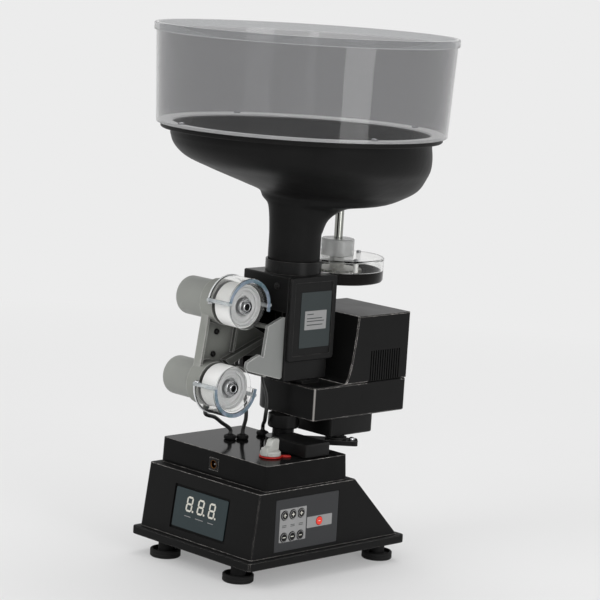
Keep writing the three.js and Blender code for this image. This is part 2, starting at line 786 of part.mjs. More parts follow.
function upperHousing() {
  const side = trayWidth * half;
  const outer = slab(housingProfile(0), -side, trayWidth, edgeChamfer);
  const inner = slab(housingProfile(wall), -side + wall, trayWidth - 2 * wall);
  const vents = [];
  for (let i = 0; i < ventCount; i++) {
    vents.push(block([-side - overrun, ventFront + i * ventPitch, housingBottom + edgeChamfer],
      [trayWidth + 2 * overrun, ventWidth, ventHeight]));
  }
  return cut(outer, inner, ...vents);
}
add('upper_housing', upperHousing(), blackSatin);

// Ball channel: a block with an upright bore, a mouth towards the wheels and slots for the tilt arms
const boreRadius = ballRadius + ballClearance;
const mouthHalf = ballRadius + running;
const boreFloor = pivotZ - mouthHalf;
const yokeOuter = yokeX + yokeThickness;
const frameInner = frameX + frameThickness;
const blockWidth = blockRight - blockLeft;

function channelBlock() {
  const flat = roundedRectangle(blockLeft, blockFront, blockRight, blockBack, cornerRadius * half);
  const body = prism(flat, blockBottom, blockHeight, edgeChamfer, 3);
  const seatFront = trayFront + blockFootInset;
  const seat = block([blockLeft + blockFootInset, seatFront, trayTop + gap],
    [blockWidth - 2 * blockFootInset, blockBack - seatFront - blockFootInset, blockLift]);
  const socket = rod([0, 0, blockTop - edgeChamfer], socketRadius, socketHeight + edgeChamfer, 24);
  const bracket = block([blockLeft, blockBack - edgeChamfer, bracketTop - bracketThickness],
    [bracketWidth, bracketDepth + edgeChamfer, bracketThickness]);
  const bore = rod([0, 0, boreFloor], boreRadius, blockTop - boreFloor + overrun, 24);
  const seatBore = rod([0, 0, blockTop], neckRadius - gap, socketHeight + overrun, 24);
  const deep = armPocketDepth + overrun;
  const mouth = block([-mouthHalf, blockFront - overrun, boreFloor],
    [2 * mouthHalf, -blockFront + overrun, blockBottom + windowHeight - boreFloor]);
  const slot = (x, width) => block([x - running, blockFront - overrun, blockBottom - overrun],
    [width + 2 * running, deep, windowHeight + overrun]);
  const boltHole = rodX([blockLeft - overrun, 0, pivotZ], pivotBoltRadius + gap,
    blockWidth + 2 * overrun, 12);
  const pinionHole = rod([pinionX, pinionY, bracketTop - bracketThickness - overrun],
    pinionShaftRadius + running, bracketThickness + 2 * overrun, 8);
  return cut(join(body, seat, socket, bracket), bore, seatBore, mouth,
    slot(frameX, frameThickness + frameRim), slot(yokeX, yokeThickness), boltHole, pinionHole);
}

const stirTurn = pinionBearing * degrees;
const pinionX = stirX + gearDistance * Math.cos(stirTurn);
const pinionY = stirY + gearDistance * Math.sin(stirTurn);
add('channel_block', channelBlock(), blackSatin);

const coverX = blockRight + gap;

function labelCover() {
  const low = blockTop - coverHeight;
  const flat = roundedRectangle(coverFront, low, coverFront + coverDepth, blockTop, cornerRadius);
  const plate = slab(flat, coverX, coverThickness, edgeChamfer, 3);
  const field = roundedRectangle(coverFront + coverFrame, low + coverFrame,
    coverFront + coverDepth - coverFrame, blockTop - coverFrame, edgeChamfer);
  return cut(plate, slab(field, coverX + coverThickness - coverRecess, coverRecess + overrun, 0, 2));
}
add('label_cover', labelCover(), blackSatin);

// Bolts of the tilt axis, one through each side of the block
function pivotBolts() {
  const left = join(
    rodX([blockLeft - gap - pivotHeadHeight, 0, pivotZ], pivotHeadRadius, pivotHeadHeight, 6),
    rodX([blockLeft - gap - edgeChamfer, 0, pivotZ], pivotBoltRadius,
      frameInner - blockLeft + gap + edgeChamfer, 12));
  const right = rodX([yokeX, 0, pivotZ], pivotBoltRadius, blockRight - yokeX, 12);
  return { left, right };
}
for (const [side, bolt] of Object.entries(pivotBolts())) add(`pivot_bolt_${side}`, bolt, steel);

// Hopper bowl: circles that grow and drift backwards, from the neck to the rim
const bowlStationShares = [
  // level, reach of the front and reach of the back, each from the neck to the rim
  [0, 0, 0], [0.16, 0, 0.07], [0.28, -0.01, 0.26], [0.35, -0.02, 0.76], [0.42, 0, 0.94],
  [0.5, 0.18, 1.03], [0.66, 0.58, 1.05], [0.78, 0.84, 1.04], [0.9, 0.96, 1.02], [1, 1, 1],
];

function bowlRings(by) {
  const grow = bowlRadius - neckRadius;
  const rings = bowlStationShares.map(([level, front, back]) => {
    const reachFront = neckRadius + front * grow - by;
    const reachBack = neckRadius + back * grow - by;
    return { z: bowlBottom + level * bowlDepth + by, y: (reachBack - reachFront) * half,
      r: (reachBack + reachFront) * half };
  });
  const bottom = by > 0 ? neckBottom - spigotLength - overrun : neckBottom;
  const top = by > 0 ? flangeTop + overrun : flangeBottom + edgeChamfer;
  return [{ z: bottom, y: 0, r: neckRadius - by }, ...rings, { z: top, y: 0, r: bowlRadius - by }];
}

// A closed skin over a stack of circles.
function skinned(rings, sides) {
  const points = [];
  for (const { z, y, r } of rings) {
    for (let i = 0; i < sides; i++) {
      const turn = 2 * Math.PI * i / sides;
      points.push(r * Math.cos(turn), y + r * Math.sin(turn), z);
    }
  }
  const [first, last] = [rings[0], rings[rings.length - 1]];
  const foot = rings.length * sides;
  points.push(0, first.y, first.z, 0, last.y, last.z);
  const faces = [];
  for (let i = 0; i < sides; i++) {
    const next = (i + 1) % sides;
    faces.push(foot, next, i);
    for (let k = 0; k + 1 < rings.length; k++) {
      const [low, high] = [k * sides, (k + 1) * sides];
      faces.push(low + i, low + next, high + next, low + i, high + next, high + i);
    }
    const high = (rings.length - 1) * sides;
    faces.push(foot + 1, high + i, high + next);
  }
  const geometry = new THREE.BufferGeometry();
  geometry.setAttribute('position', new THREE.Float32BufferAttribute(points, 3));
  geometry.setIndex(faces);
  return geometry;
}

function hopperBowl() {
  const outer = skinned(bowlRings(0), bowlSides);
  const flange = rod([0, 0, flangeBottom], flangeRadius, flangeThickness, 36);
  const spigot = rod([0, 0, neckBottom - spigotLength], neckRadius - 2 * gap, spigotLength + gap, bowlSides);
  const inner = skinned(bowlRings(bowlWall), bowlSides);
  const rodHole = rod([stirX, stirY, bowlBottom], rodRadius + running, bowlDepth * half, 12);
  return cut(join(outer, flange, spigot), inner, rodHole);
}
add('hopper_bowl', hopperBowl(), blackSatin);

// Clear wall on the bowl's rim, with its foot screwed to the flange
function hopperWall() {
  const top = wallBottom + wallHeight;
  const foot = wallFootRadius - wallFootWidth;
  return turned([
    [foot, wallBottom], [wallFootRadius, wallBottom], [wallTopRadius, top - lipHeight],
    [wallTopRadius + lipWidth, top - lipHeight], [wallTopRadius + lipWidth, top],
    [wallTopRadius - wallThickness, top],
    [wallFootRadius - wallThickness, wallBottom + wallFootThickness],
    [foot, wallBottom + wallFootThickness], [foot, wallBottom],
  ], 36);
}
add('hopper_wall', hopperWall(), smokyPlastic);

// Agitator drive: a motor under the bracket, and a gear pair in a clear round case
const driveMotorTop = bracketTop - bracketThickness - gap;
const gearLow = gearCaseTop - gap - gearWidth;
const gearPitch = gearDistance * gearTeeth / (gearTeeth + pinionTeeth);
const pinionPitch = gearDistance * pinionTeeth / (gearTeeth + pinionTeeth);

function driveMotor() {
  const can = rod([0, 0, driveMotorTop - driveMotorLength], driveMotorRadius, driveMotorLength, 20);
  const bore = rod([0, 0, driveMotorTop - driveMotorLength * half], pinionShaftRadius + gap,
    driveMotorLength, 8);
  return cut(can, bore).translate(pinionX, pinionY, 0);
}
add('agitator_motor', driveMotor(), steel);

const stirAxis = (shape) => shape.translate(stirX, stirY, 0);

function gearCase() {
  const inner = gearCaseRadius - gearCaseWall;
  const floor = gearCaseBottom + gearCaseFloor;
  const bore = rodRadius + gap;
  const tray = turned([
    [bore, gearCaseBottom - gearBossHeight], [gearBossRadius, gearCaseBottom - gearBossHeight],
    [gearBossRadius, gearCaseBottom], [gearCaseRadius - gearCaseWall, gearCaseBottom],
    [gearCaseRadius, gearCaseBottom + gearCaseWall], [gearCaseRadius, gearCaseTop],
    [inner, gearCaseTop], [inner, floor], [gearHubRadius, floor], [gearHubRadius, gearLow - gap],
    [bore, gearLow - gap], [bore, gearCaseBottom - gearBossHeight],
  ], 24);
  const hole = rod([pinionX - stirX, pinionY - stirY, gearCaseBottom - overrun],
    pinionShaftRadius + running, gearCaseFloor + 2 * overrun, 8);
  return stirAxis(cut(tray, hole));
}
add('gear_case', gearCase(), smokyPlastic);

add('gear_cover', stirAxis(turned([
  [gearCaseRadius - gearCaseWall, gearCoverBottom], [gearCaseRadius, gearCoverBottom],
  [gearCaseRadius, gearCoverTop], [gearHubRadius + running, gearCoverTop],
  [gearHubRadius + running, gearCoverTop - gearCaseFloor],
  [gearCaseRadius - gearCaseWall, gearCoverTop - gearCaseFloor],
  [gearCaseRadius - gearCaseWall, gearCoverBottom],
], 24)), clearPlastic);

add('bearing_cap', stirAxis(turned([
  [capRadius - gearCaseWall, capBottom], [capRadius, capBottom], [capRadius, capTop],
  [rodRadius + gap, capTop], [rodRadius + gap, capTop - gearCaseFloor],
  [capRadius - gearCaseWall, capTop - gearCaseFloor], [capRadius - gearCaseWall, capBottom],
], 18)), clearPlastic);

// A spur gear outline: each tooth takes two fifths of its pitch at the foot and a fifth at the tip.
const toothFootShare = 0.2;
const toothTipShare = 0.1;
function gearOutline(teeth, pitchRadius, phase) {
  const points = [];
  const step = 2 * Math.PI / teeth;
  const [root, tip] = [pitchRadius - toothHeight * half, pitchRadius + toothHeight * half - gap];
  for (let i = 0; i < teeth; i++) {
    for (const [r, share] of [[root, -toothFootShare], [tip, -toothTipShare], [tip, toothTipShare],
      [root, toothFootShare]]) {
      const turn = phase + (i + share) * step;
      points.push([r * Math.cos(turn), r * Math.sin(turn)]);
    }
  }
  return outline(points);
}

function driveGear() {
  const between = stirTurn + Math.PI / gearTeeth;
  const rim = prism(gearOutline(gearTeeth, gearPitch, between), gearLow, gearWidth);
  const hub = rod([0, 0, gearLow], gearHubRadius, gearHubHeight, 16);
  const bore = rod([0, 0, gearLow - overrun], rodRadius + gap, gearHubHeight + 2 * overrun, 12);
  return stirAxis(cut(join(rim, hub), bore));
}
add('drive_gear', driveGear(), lightGrey);

function drivePinion() {
  const teeth = prism(gearOutline(pinionTeeth, pinionPitch, stirTurn + Math.PI), gearLow, gearWidth);
  const shaft = rod([0, 0, gearLow - pinionShaftLength], pinionShaftRadius,
    pinionShaftLength + gearWidth, 8);
  return join(teeth, shaft).translate(pinionX, pinionY, 0);
}
add('drive_pinion', drivePinion(), steel);

// Level of the bowl's inside floor under the agitator: the lowest circle that takes in its axis.
function bowlFloorAt(x, y) {
  const rings = bowlRings(bowlWall);
  for (let k = 0; k + 1 < rings.length; k++) {
    const [a, b] = [rings[k], rings[k + 1]];
    const reach = (s) => Math.hypot(x, y - a.y - s * (b.y - a.y)) - a.r - s * (b.r - a.r);
    if (reach(0) > 0 && reach(1) <= 0) {
      const s = reach(0) / (reach(0) - reach(1));
      return a.z + s * (b.z - a.z);
    }
  }
  return bowlTop;
}
const stirLow = bowlFloorAt(stirX, stirY) + stirFloorClearance;
const rodLow = gearCaseBottom - gearBossHeight;
const rodTop = stirLow + stirHubHeight;

add('agitator_shaft', stirAxis(rod([0, 0, rodLow], rodRadius, rodTop - rodLow, 12)), chrome);

function stirrer() {
  const hub = rod([0, 0, stirLow], stirHubRadius, stirHubHeight + stirArmThickness, 16);
  const bore = rod([0, 0, stirLow - overrun], rodRadius + gap, stirHubHeight + overrun, 12);
  const armLow = stirLow + stirHubHeight - stirArmThickness;
  const arms = [];
  for (let i = 0; i < stirArms; i++) {
    const turn = 2 * Math.PI * i / stirArms;
    const bar = prism(roundedRectangle(0, -stirArmWidth * half, stirReach, stirArmWidth * half,
      stirArmWidth * half), armLow, stirArmThickness, 0, 2);
    const tip = rod([stirReach - stirArmWidth * half, 0, armLow], stirArmWidth * half - gap, stirTipHeight, 8);
    arms.push(join(bar, tip).rotateZ(turn));
  }
  return stirAxis(cut(join(hub, ...arms), bore));
}
add('stirrer', stirrer(), blackSatin);

// Wheel unit: everything below stands in a frame that turns about the tilt axis
const unit = new THREE.Group();
unit.position.set(0, 0, pivotZ);
unit.rotation.x = -exitAngle * degrees;
robot.add(unit);

const wheelCentres = { upper: [-wheelReach, wheelSpread], lower: [-wheelReach, -wheelSpread] };
const bossFront = frameInner + bossLength;
const braceShares = [[-0.8, -0.42], [-0.2, 0.23], [-0.2, 0.08], [-0.7, -0.54]];  // of reach and spread
const ribShare = 0.667;                         // of the reach

function wheelFrame() {
  const front = -framePocket;
  const waist = -wheelReach + bossRadius;         // behind the bosses
  const tieZ = ballRadius + tieRadius + edgeChamfer;
  const side = outline([
    [front, -wheelSpread + bossRadius * half], [waist, -wheelSpread + bossRadius * half],
    [tieY, -tieZ], [tieY + eyeRadius, -eyeRadius - wall], [0, -eyeRadius], [0, eyeRadius],
    [tieY + eyeRadius, tieZ], [waist, wheelSpread - bossRadius * half],
    [front, wheelSpread - bossRadius * half],
  ]);
  const plate = slab(side, frameX, frameThickness);
  const eye = rodX([frameX, 0, 0], eyeRadius, frameThickness, 16);
  const bosses = Object.values(wheelCentres).map(([y, z]) =>
    rodX([frameX, y, z], bossRadius, frameThickness + bossLength, 24));
  const rimWidth = frameThickness + frameRim;
  const frontRim = block([frameX, front, -wheelSpread + bossRadius * half],
    [rimWidth, frameRimThickness, 2 * wheelSpread - bossRadius]);
  const brace = slab(outline(braceShares.map(([u, v]) => [u * wheelReach, v * wheelSpread])),
    frameX, rimWidth);
  const ribY = -wheelReach * ribShare;
  const rib = block([frameX, ribY, -eyeRadius], [rimWidth - wall, wall, eyeRadius + bossRadius]);
  const gland = rodX([0, 0, 0], leadGlandRadius, leadGlandLength + overrun, 10)
    .rotateY(Math.PI * half);
  const glands = Object.values(glandPlaces).map(([x, y, z]) => gland.clone().translate(x, y, z + overrun));
  const spindleHoles = Object.values(wheelCentres).map(([y, z]) =>
    rodX([frameX - overrun, y, z], spindleRadius + running, bossLength + rimWidth + overrun, 12));
  const eyeHole = rodX([frameX - overrun, 0, 0], pivotBoltRadius + gap, rimWidth + overrun, 12);
  const ties = [tieZ, -tieZ].flatMap((z) => [
    rodX([frameX, tieY, z], tieRadius, yokeX - gap - frameX, 10),
    rodX([frameX, tieY, z], tieEarRadius, frameThickness, 12),
  ]);
  const bodies = [plate, eye, ...bosses, frontRim, brace, rib, ...glands, ...ties];
  return cut(join(...bodies), ...spindleHoles, eyeHole);
}
// Where the motor leads leave: under the lower boss and under the brace, in the unit's frame.
const glandPlaces = {
  lower: [frameInner + bossLength * half, -wheelReach, -wheelSpread - bossRadius],
  upper: [frameX + frameThickness * half, -wheelReach * half, -eyeRadius - wall],
};
add('wheel_frame', wheelFrame(), greyPlastic, unit);

// Corners of the arm: back, brow, crook, finger, tip and heel, as shares of reach and spread.
const armShares = [[-0.5, 0.87], [-0.725, 0.62], [-0.72, -0.15], [-0.795, -0.09], [-0.975, -0.4],
  [-0.388, -0.642]];

function yokeArm() {
  const plate = new THREE.Shape();
  const [back, brow, crook, finger, tip, heel] =
    armShares.map(([u, v]) => [u * wheelReach, v * wheelSpread]);
  plate.moveTo(0, eyeRadius);
  plate.lineTo(back[0] + eyeRadius, back[1]).lineTo(back[0], back[1]).lineTo(brow[0], brow[1]);
  plate.lineTo(crook[0], crook[1]).lineTo(finger[0], finger[1]);
  plate.lineTo(tip[0], tip[1] + cornerRadius);
  plate.quadraticCurveTo(tip[0] - cornerRadius * half, tip[1] - cornerRadius, tip[0] + cornerRadius,
    tip[1] - cornerRadius - edgeChamfer);
  plate.lineTo(heel[0], heel[1]).lineTo(0, -eyeRadius);
  const body = join(slab(plate, yokeX, yokeThickness), rodX([yokeX, 0, 0], eyeRadius, yokeThickness, 16));
  return cut(body, rodX([yokeX - overrun, 0, 0], pivotBoltRadius + gap, yokeThickness + 2 * overrun, 12));
}
add('yoke_arm', yokeArm(), lightGrey, unit);

function motorCover([y, z]) {
  const [near, far] = [frameX - gap, frameX - gap - motorLength];
  const corner = motorRadius - motorEndRound;
  const bend = [];
  const steps = 3;
  for (let i = 0; i <= steps; i++) {
    const turn = Math.PI * half * i / steps;
    bend.push([corner + motorEndRound * Math.sin(turn), far + motorEndRound * (1 - Math.cos(turn))]);
  }
  const bore = [[spindleRadius + running, near], [spindleRadius + running, near - bossLength * half],
    [0, near - bossLength * half]];
  return turnedX([[0, far], ...bend, [motorRadius, near], ...bore], 20).translate(0, y, z);
}
add('motor_upper', motorCover(wheelCentres.upper), greyPlastic, unit);
add('motor_lower', motorCover(wheelCentres.lower), greyPlastic, unit);

// Guards: a clear half ring over each wheel, with a lip in front and a seat on the boss
function guard([y, z], upwards) {
  const turn = upwards ? 0 : Math.PI;
  const back = bossFront + gap;
  const outer = guardInner + guardThickness;
  const arch = (inner, far, from, length) => {
    const shape = new THREE.Shape();
    shape.absarc(0, 0, far, 0, Math.PI, false);
    shape.absarc(0, 0, inner, Math.PI, 0, true);
    return slab(shape, from, length, 0, 9);
  };
  const bar = (u) => block([back, u, 0],
    [guardFront - back, guardBarReach - guardLipInner, guardBarThickness]);
  const shape = join(
    arch(guardInner, outer, back, guardFront - back),
    arch(guardLipInner, outer, guardFront - guardLipThickness, guardLipThickness),
    arch(guardSeatInner, outer, back, guardLipThickness),
    bar(guardLipInner), bar(-guardBarReach),
  );
  return shape.rotateX(turn).translate(0, y, z);
}
add('guard_upper', guard(wheelCentres.upper, true), clearPlastic, unit);
add('guard_lower', guard(wheelCentres.lower, false), clearPlastic, unit);

// Wheels: a white tyre on a clear hub with a chrome boss and a spindle into the motor
function tyre([y, z]) {
  const [inner, side] = [wheelRadius - tyreDepth, wheelWidth * half];
  return turnedX([
    [inner, -side], [wheelRadius - edgeChamfer, -side], [wheelRadius, -side + edgeChamfer],
    [wheelRadius, side - edgeChamfer], [wheelRadius - edgeChamfer, side], [inner, side], [inner, -side],
  ], 24).translate(0, y, z);
}
function hub([y, z]) {
  const side = wheelWidth * half;
  const rim = wheelRadius - tyreDepth - gap;
  const spindleEnd = frameX - bossLength * half + running;
  return turnedX([
    [0, spindleEnd], [spindleRadius, spindleEnd], [spindleRadius, -side], [rim, -side],
    [rim, side - gap], [rim - hubDish, side - gap], [hubBossRadius + hubDish, side - hubDish],
    [hubBossRadius, side - hubDish], [hubBossRadius, side - hubDish + hubBossLength],
    [hubBoreRadius, side - hubDish + hubBossLength],
    [hubBoreRadius, side - hubDish + hubBossLength - hubBoreDepth],
    [0, side - hubDish + hubBossLength - hubBoreDepth],
  ], 16).translate(0, y, z);
}
for (const [place, centre] of Object.entries(wheelCentres)) {
  add(`wheel_tyre_${place}`, tyre(centre), whiteTyre, unit);
  add(`wheel_hub_${place}`, hub(centre), chrome, unit);
}

// Leads: short free runs from the glands down to the grommets on the deck
unit.updateMatrix();
const fromUnit = ([x, y, z]) => new THREE.Vector3(x, y, z - leadGlandLength - gap).applyMatrix4(unit.matrix);
const toDeck = ([x, y]) => new THREE.Vector3(x, y, glandTop + gap);
const leadTops = {
  lower: fromUnit(glandPlaces.lower),
  upper: fromUnit(glandPlaces.upper),
  head: new THREE.Vector3(...leadHeadPlace, blockBottom - gap),
};
function lead(name, top) {
  const bends = leadBends[name].map(([x, y, rise]) => new THREE.Vector3(x, y, deck + rise));
  const points = [top, ...bends, toDeck(grommetPlaces[name])];
  const upright = (p, by) => new THREE.Vector3(p.x, p.y, p.z + by);
  points.splice(1, 0, upright(points[0], -leadStraight));
  points.splice(-1, 0, upright(points[points.length - 1], leadStraight));
  const path = new THREE.CatmullRomCurve3(points, false, 'centripetal');
  const section = new THREE.Shape();
  section.absarc(0, 0, leadRadius, 0, 2 * Math.PI, false);
  return new THREE.ExtrudeGeometry(section,
    { extrudePath: path, steps: 10, curveSegments: 4, bevelEnabled: false });
}
for (const [name, top] of Object.entries(leadTops)) add(`lead_${name}`, lead(name, top), leadBlack);

export default robot;
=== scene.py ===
# %% [markdown]
# # A table tennis robot, dressed for the camera
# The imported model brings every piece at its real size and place. This script gives the pieces
# their surfaces, and builds finer meshes for what is round, clear or printed. The camera and the
# finishes come first, then the leads, then the robot from its feet to its hopper and its wheels,
# and the stage at the end. Lengths are written in millimetres, and Blender gets them in metres.

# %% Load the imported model
import json
from math import atan2, cos, pi, radians, sin, tau

import bpy
from mathutils import Matrix, Vector


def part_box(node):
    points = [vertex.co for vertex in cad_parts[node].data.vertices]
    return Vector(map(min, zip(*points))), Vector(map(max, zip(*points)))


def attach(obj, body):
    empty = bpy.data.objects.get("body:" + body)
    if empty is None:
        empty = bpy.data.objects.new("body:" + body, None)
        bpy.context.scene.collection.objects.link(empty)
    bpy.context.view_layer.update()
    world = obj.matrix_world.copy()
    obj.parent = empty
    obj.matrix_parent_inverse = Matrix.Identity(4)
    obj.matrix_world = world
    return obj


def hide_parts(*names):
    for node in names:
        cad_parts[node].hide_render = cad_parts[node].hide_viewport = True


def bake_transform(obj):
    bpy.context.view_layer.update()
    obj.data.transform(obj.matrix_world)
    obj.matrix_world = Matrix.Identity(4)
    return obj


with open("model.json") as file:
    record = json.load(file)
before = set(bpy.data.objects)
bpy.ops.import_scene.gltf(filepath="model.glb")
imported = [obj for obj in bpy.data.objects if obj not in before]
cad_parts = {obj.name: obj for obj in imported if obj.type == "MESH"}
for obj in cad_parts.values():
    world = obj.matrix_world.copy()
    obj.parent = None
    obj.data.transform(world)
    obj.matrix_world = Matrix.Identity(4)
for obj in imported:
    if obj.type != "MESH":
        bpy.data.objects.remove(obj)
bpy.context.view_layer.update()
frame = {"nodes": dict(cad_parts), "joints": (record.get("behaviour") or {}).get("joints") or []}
nodes = frame["nodes"]
joints = {joint["name"]: joint for joint in frame["joints"]}
mm = 0.001


def low(node):
    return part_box(node)[0] / mm


def high(node):
    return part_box(node)[1] / mm


def middle(node):
    return (low(node) + high(node)) / 2


def polar(radius, angle, level=0.0):
    return Vector((radius * cos(angle), radius * sin(angle), level))


# %% [markdown]
# ## Camera
# The photograph looks at the machine's front corner from a little above, through a long lens, and
# leans to one side by a few degrees. A camera's own axes are right, up and back, so its matrix is
# built from these three, and turned about the line of sight by the lean.

# %% Camera
look_azimuth, look_elevation, lean = (radians(a) for a in (45.1, 8.9, 3.6))
look_at = Vector((-38.5, 50.8, 252.9)) * mm
look_distance = 2454.7 * mm
photo_side, focal_length = 600, 2383.2  # in pixels of the square photograph

scene = bpy.context.scene
camera = bpy.data.objects.new("camera", bpy.data.cameras.new("camera"))
scene.collection.objects.link(camera)
scene.camera = camera
camera.data.sensor_width = 36
camera.data.lens = camera.data.sensor_width * focal_length / photo_side
right = polar(1, look_azimuth)
back = polar(cos(look_elevation), look_azimuth - pi / 2, sin(look_elevation))
facing = Matrix((right, back.cross(right), back)).transposed().to_4x4()
camera.matrix_world = (Matrix.Translation(look_at + back * look_distance) @ facing
                       @ Matrix.Rotation(lean, 4, "Z"))
camera.data.clip_end = 100
print("lens:", round(camera.data.lens, 1), "mm")

# %% [markdown]
# ## Shader maths
# A finish is a small program. One class wraps an output socket, so that sums and products of masks
# read as plain Python, and one method adds any other node, with its settings first.


# %% Sockets and nodes as Python
class Mask:
    """A number that changes over the surface, as the output socket of a node."""

    def __init__(self, program, socket):
        self.program, self.socket = program, socket

    def maths(self, operation, *values):
        return self.program.node("Math", {"operation": operation}, dict(enumerate(values)))

    def __add__(self, other):
        return self.maths("ADD", self, other)

    def __sub__(self, other):
        return self.maths("SUBTRACT", self, other)

    def __rsub__(self, other):
        return self.maths("SUBTRACT", other, self)

    def __mul__(self, other):
        return self.maths("MULTIPLY", self, other)

    __radd__, __rmul__ = __add__, __mul__

    def clamp(self):
        return self.program.node("Clamp", {}, {"Value": self})


class Program:
    """The nodes of a material or a world, whose sockets take plain values or masks."""

    def __init__(self, tree):
        self.tree = tree

    def put(self, node, socket, value):
        if isinstance(value, Mask):
            self.tree.links.new(value.socket, node.inputs[socket])
        else:
            node.inputs[socket].default_value = value

    def node(self, kind, settings=None, values=None, output=0):
        made = self.tree.nodes.new("ShaderNode" + kind)
        for setting, value in (settings or {}).items():
            setattr(made, setting, value)
        for socket, value in (values or {}).items():
            self.put(made, socket, value)
        return Mask(self, made.outputs[output])

    def vector(self, operation, *values, output=0):
        return self.node("VectorMath", {"operation": operation}, dict(enumerate(values)),
                         output)

    def spot(self):
        """The point of the surface, in metres."""
        return self.node("TexCoord", output="Object")

    def seen(self):
        """1 for what the camera sees, directly or through gloss and clear plastic, else 0."""
        rays = [self.node("LightPath", output=kind)
                for kind in ("Is Camera Ray", "Is Glossy Ray", "Is Transmission Ray")]
        return (rays[0] + rays[1] + rays[2]).clamp()


finishes = {}


class Finish(Program):
    """A material on Blender's Principled shader, which pieces find by its name."""

    def __init__(self, name, **surface):
        finishes[name] = bpy.data.materials.new(name)
        finishes[name].use_nodes = True
        super().__init__(finishes[name].node_tree)
        self.shader = self.tree.nodes["Principled BSDF"]
        self.set(**surface)

    def set(self, **surface):
        for socket, value in surface.items():
            self.put(self.shader, socket.replace("_", " "), value)

    def grain(self, size, detail=2.0):
        """Noise with features of the given size, from 0 to 1."""
        return self.node("TexNoise", {}, {"Vector": self.spot(), "Scale": 1 / (size * mm),
                                          "Detail": detail, "Roughness": 0.6})

    def relief(self, size, depth):
        """Grain of the given size that dents the surface to the given depth."""
        self.set(Normal=self.node("Bump", {}, {
            "Height": self.grain(size), "Distance": depth * mm, "Strength": 1.0}))

    def mix(self, mask, colour, other):
        """A colour that goes from colour to other as mask goes from 0 to 1."""
        return self.node("Mix", {"data_type": "RGBA"},
                         {"Factor": mask, 6: colour, 7: other}, output=2)


def tone(*levels):
    """A display colour from 0 to 255 as scene colour."""
    shares = [level / 255 for level in levels]
    return (*[s / 12.92 if s <= 0.04045 else ((s + 0.055) / 1.055) ** 2.4 for s in shares], 1)


def grey(level, warm=0.0):
    """A display grey from 0 to 255 as scene colour, a little warmer or cooler."""
    return tone(level * (1 + warm), level, level * (1 - warm))


def shaded(colour, share):
    return (*[c * share for c in colour[:3]], 1)


# %% [markdown]
# ## Black plastics and paint
# Most of the robot is black, and black things are told apart by how they shine. The base has a
# fine powder texture, the head is a satin moulding, the deck is polished. Their edges are painted
# paler, partly as wear and partly as a painted highlight where light would catch them. Such marks
# could be painted by hand, but a mask finds the edges of every piece alike: the Bevel node rounds
# the normal near an edge, and where that differs from the true normal there is an edge, which a
# noise breaks up.


# %% Masks for edges and places
def worn_and_highlit_edges(finish, radius, gain, patches, least=0.35, facets=0.03):
    """A mask of the piece's paler edges: a painted highlight, least all along, and full where patches
    of the given size add wear.

    The normals of neighbouring facets differ by the share of facets without an edge.
    """
    rounded = finish.node("Bevel", {"samples": 6}, {"Radius": radius * mm})
    flat = finish.node("NewGeometry", output="True Normal")
    along = finish.vector("DOT_PRODUCT", rounded, flat, output="Value")
    flecks = ((finish.grain(patches, 3.0) - 0.44) * 6.0).clamp()
    return ((1 - facets - along) * gain).clamp() * (flecks * (1 - least) + least)


def outside(finish, box):
    """A mask that is 0 within the box and 1 from a millimetre outside it."""
    box_low, box_high = box
    apart = finish.vector("SUBTRACT", finish.spot(), (box_low + box_high) / 2 * mm)
    over = finish.vector("SUBTRACT", finish.vector("ABSOLUTE", apart), (box_high - box_low) / 2 * mm)
    x, y, z = (finish.node("SeparateXYZ", {}, {0: over}, output=k) for k in range(3))
    return (x.maths("MAXIMUM", x.maths("MAXIMUM", x, y), z) * (1 / mm)).clamp()


around = Vector((3, 3, 3))
panels = [(low(node) - around, high(node) + around) for node in ("display_window", "keypad_panel")]
vent_place = (Vector((-200, 70, 178)), Vector((200, 119, 216)))
tray_corner = Vector((high("lower_tray").x, low("lower_tray").y, 0))
# The tray's front corner gets a painted highlight, a pale upright line down its edge.
corner_highlight_place = (tray_corner + Vector((-1.2, -1, 0)), tray_corner + Vector((1, 1.2, 200)))
print("the tray's corner:", tray_corner.xy)


# %% Black finishes
def black(name, level, roughness, edge_level, texture=None, specular=0.5, patches=6, spared=(),
          highlight_boxes=()):
    """Black with paler edges, as wear and painted highlight: none in the spared boxes, and a painted
    highlight over all that the last boxes hold.

    The texture is the size and the depth of its grain.
    """
    finish = Finish(name, Specular_IOR_Level=specular)
    edge = worn_and_highlit_edges(finish, 1.2, 16.0, patches)
    for box in spared:
        edge = edge * outside(finish, box)
    for box in highlight_boxes:
        edge = (edge + (1 - outside(finish, box)) * 0.4).clamp()
    cloud = finish.grain(30)
    body = finish.mix(cloud, grey(level * 0.85), grey(level * 1.15))
    finish.set(Base_Color=finish.mix(edge, body, grey(edge_level, 0.02)),
               Roughness=roughness - 0.06 + cloud * 0.12)
    if texture:
        finish.relief(*texture)
    return finish


# Each black's edge level is how pale its edges are painted, as wear and as highlight.
black("powder_black", 20, 0.62, 190, (0.9, 0.14), 0.1, 4, spared=panels)
black("satin_black", 19, 0.32, 70, (1.6, 0.015), 0.13)
# The head's black: paler edges, and a painted highlight down the tray's front corner, none in the
# vents.
black("worn_black", 18, 0.34, 225, (1.6, 0.015), 0.1, spared=[vent_place], highlight_boxes=[corner_highlight_place])
black("gloss_black", 21, 0.12, 170, specular=0.045)
black("bowl_black", 26, 0.42, 44, (14, 0.2), 0.05)
# The bowl's inside is its own black made paler: painted light from the open top.
black("bowl_inside_painted_light", 46, 0.16, 70, specular=0.4)
black("foot_rubber", 18, 0.7, 40, (1.2, 0.05), 0.2)
black("lead_rubber", 34, 0.4, 60, (2.4, 0.04))
print("black finishes:", len(finishes))

# %% [markdown]
# ## Greys, metals and clear plastics
# The launcher is warm grey paint with a faint orange peel. Chrome is a metal with almost no
# roughness, and turned steel has more. Clear acrylic could be see-through by alpha, but then it
# wouldn't bend light, so it is glass with a low index of refraction, and the smoky hopper wall is
# the same with a grey body.


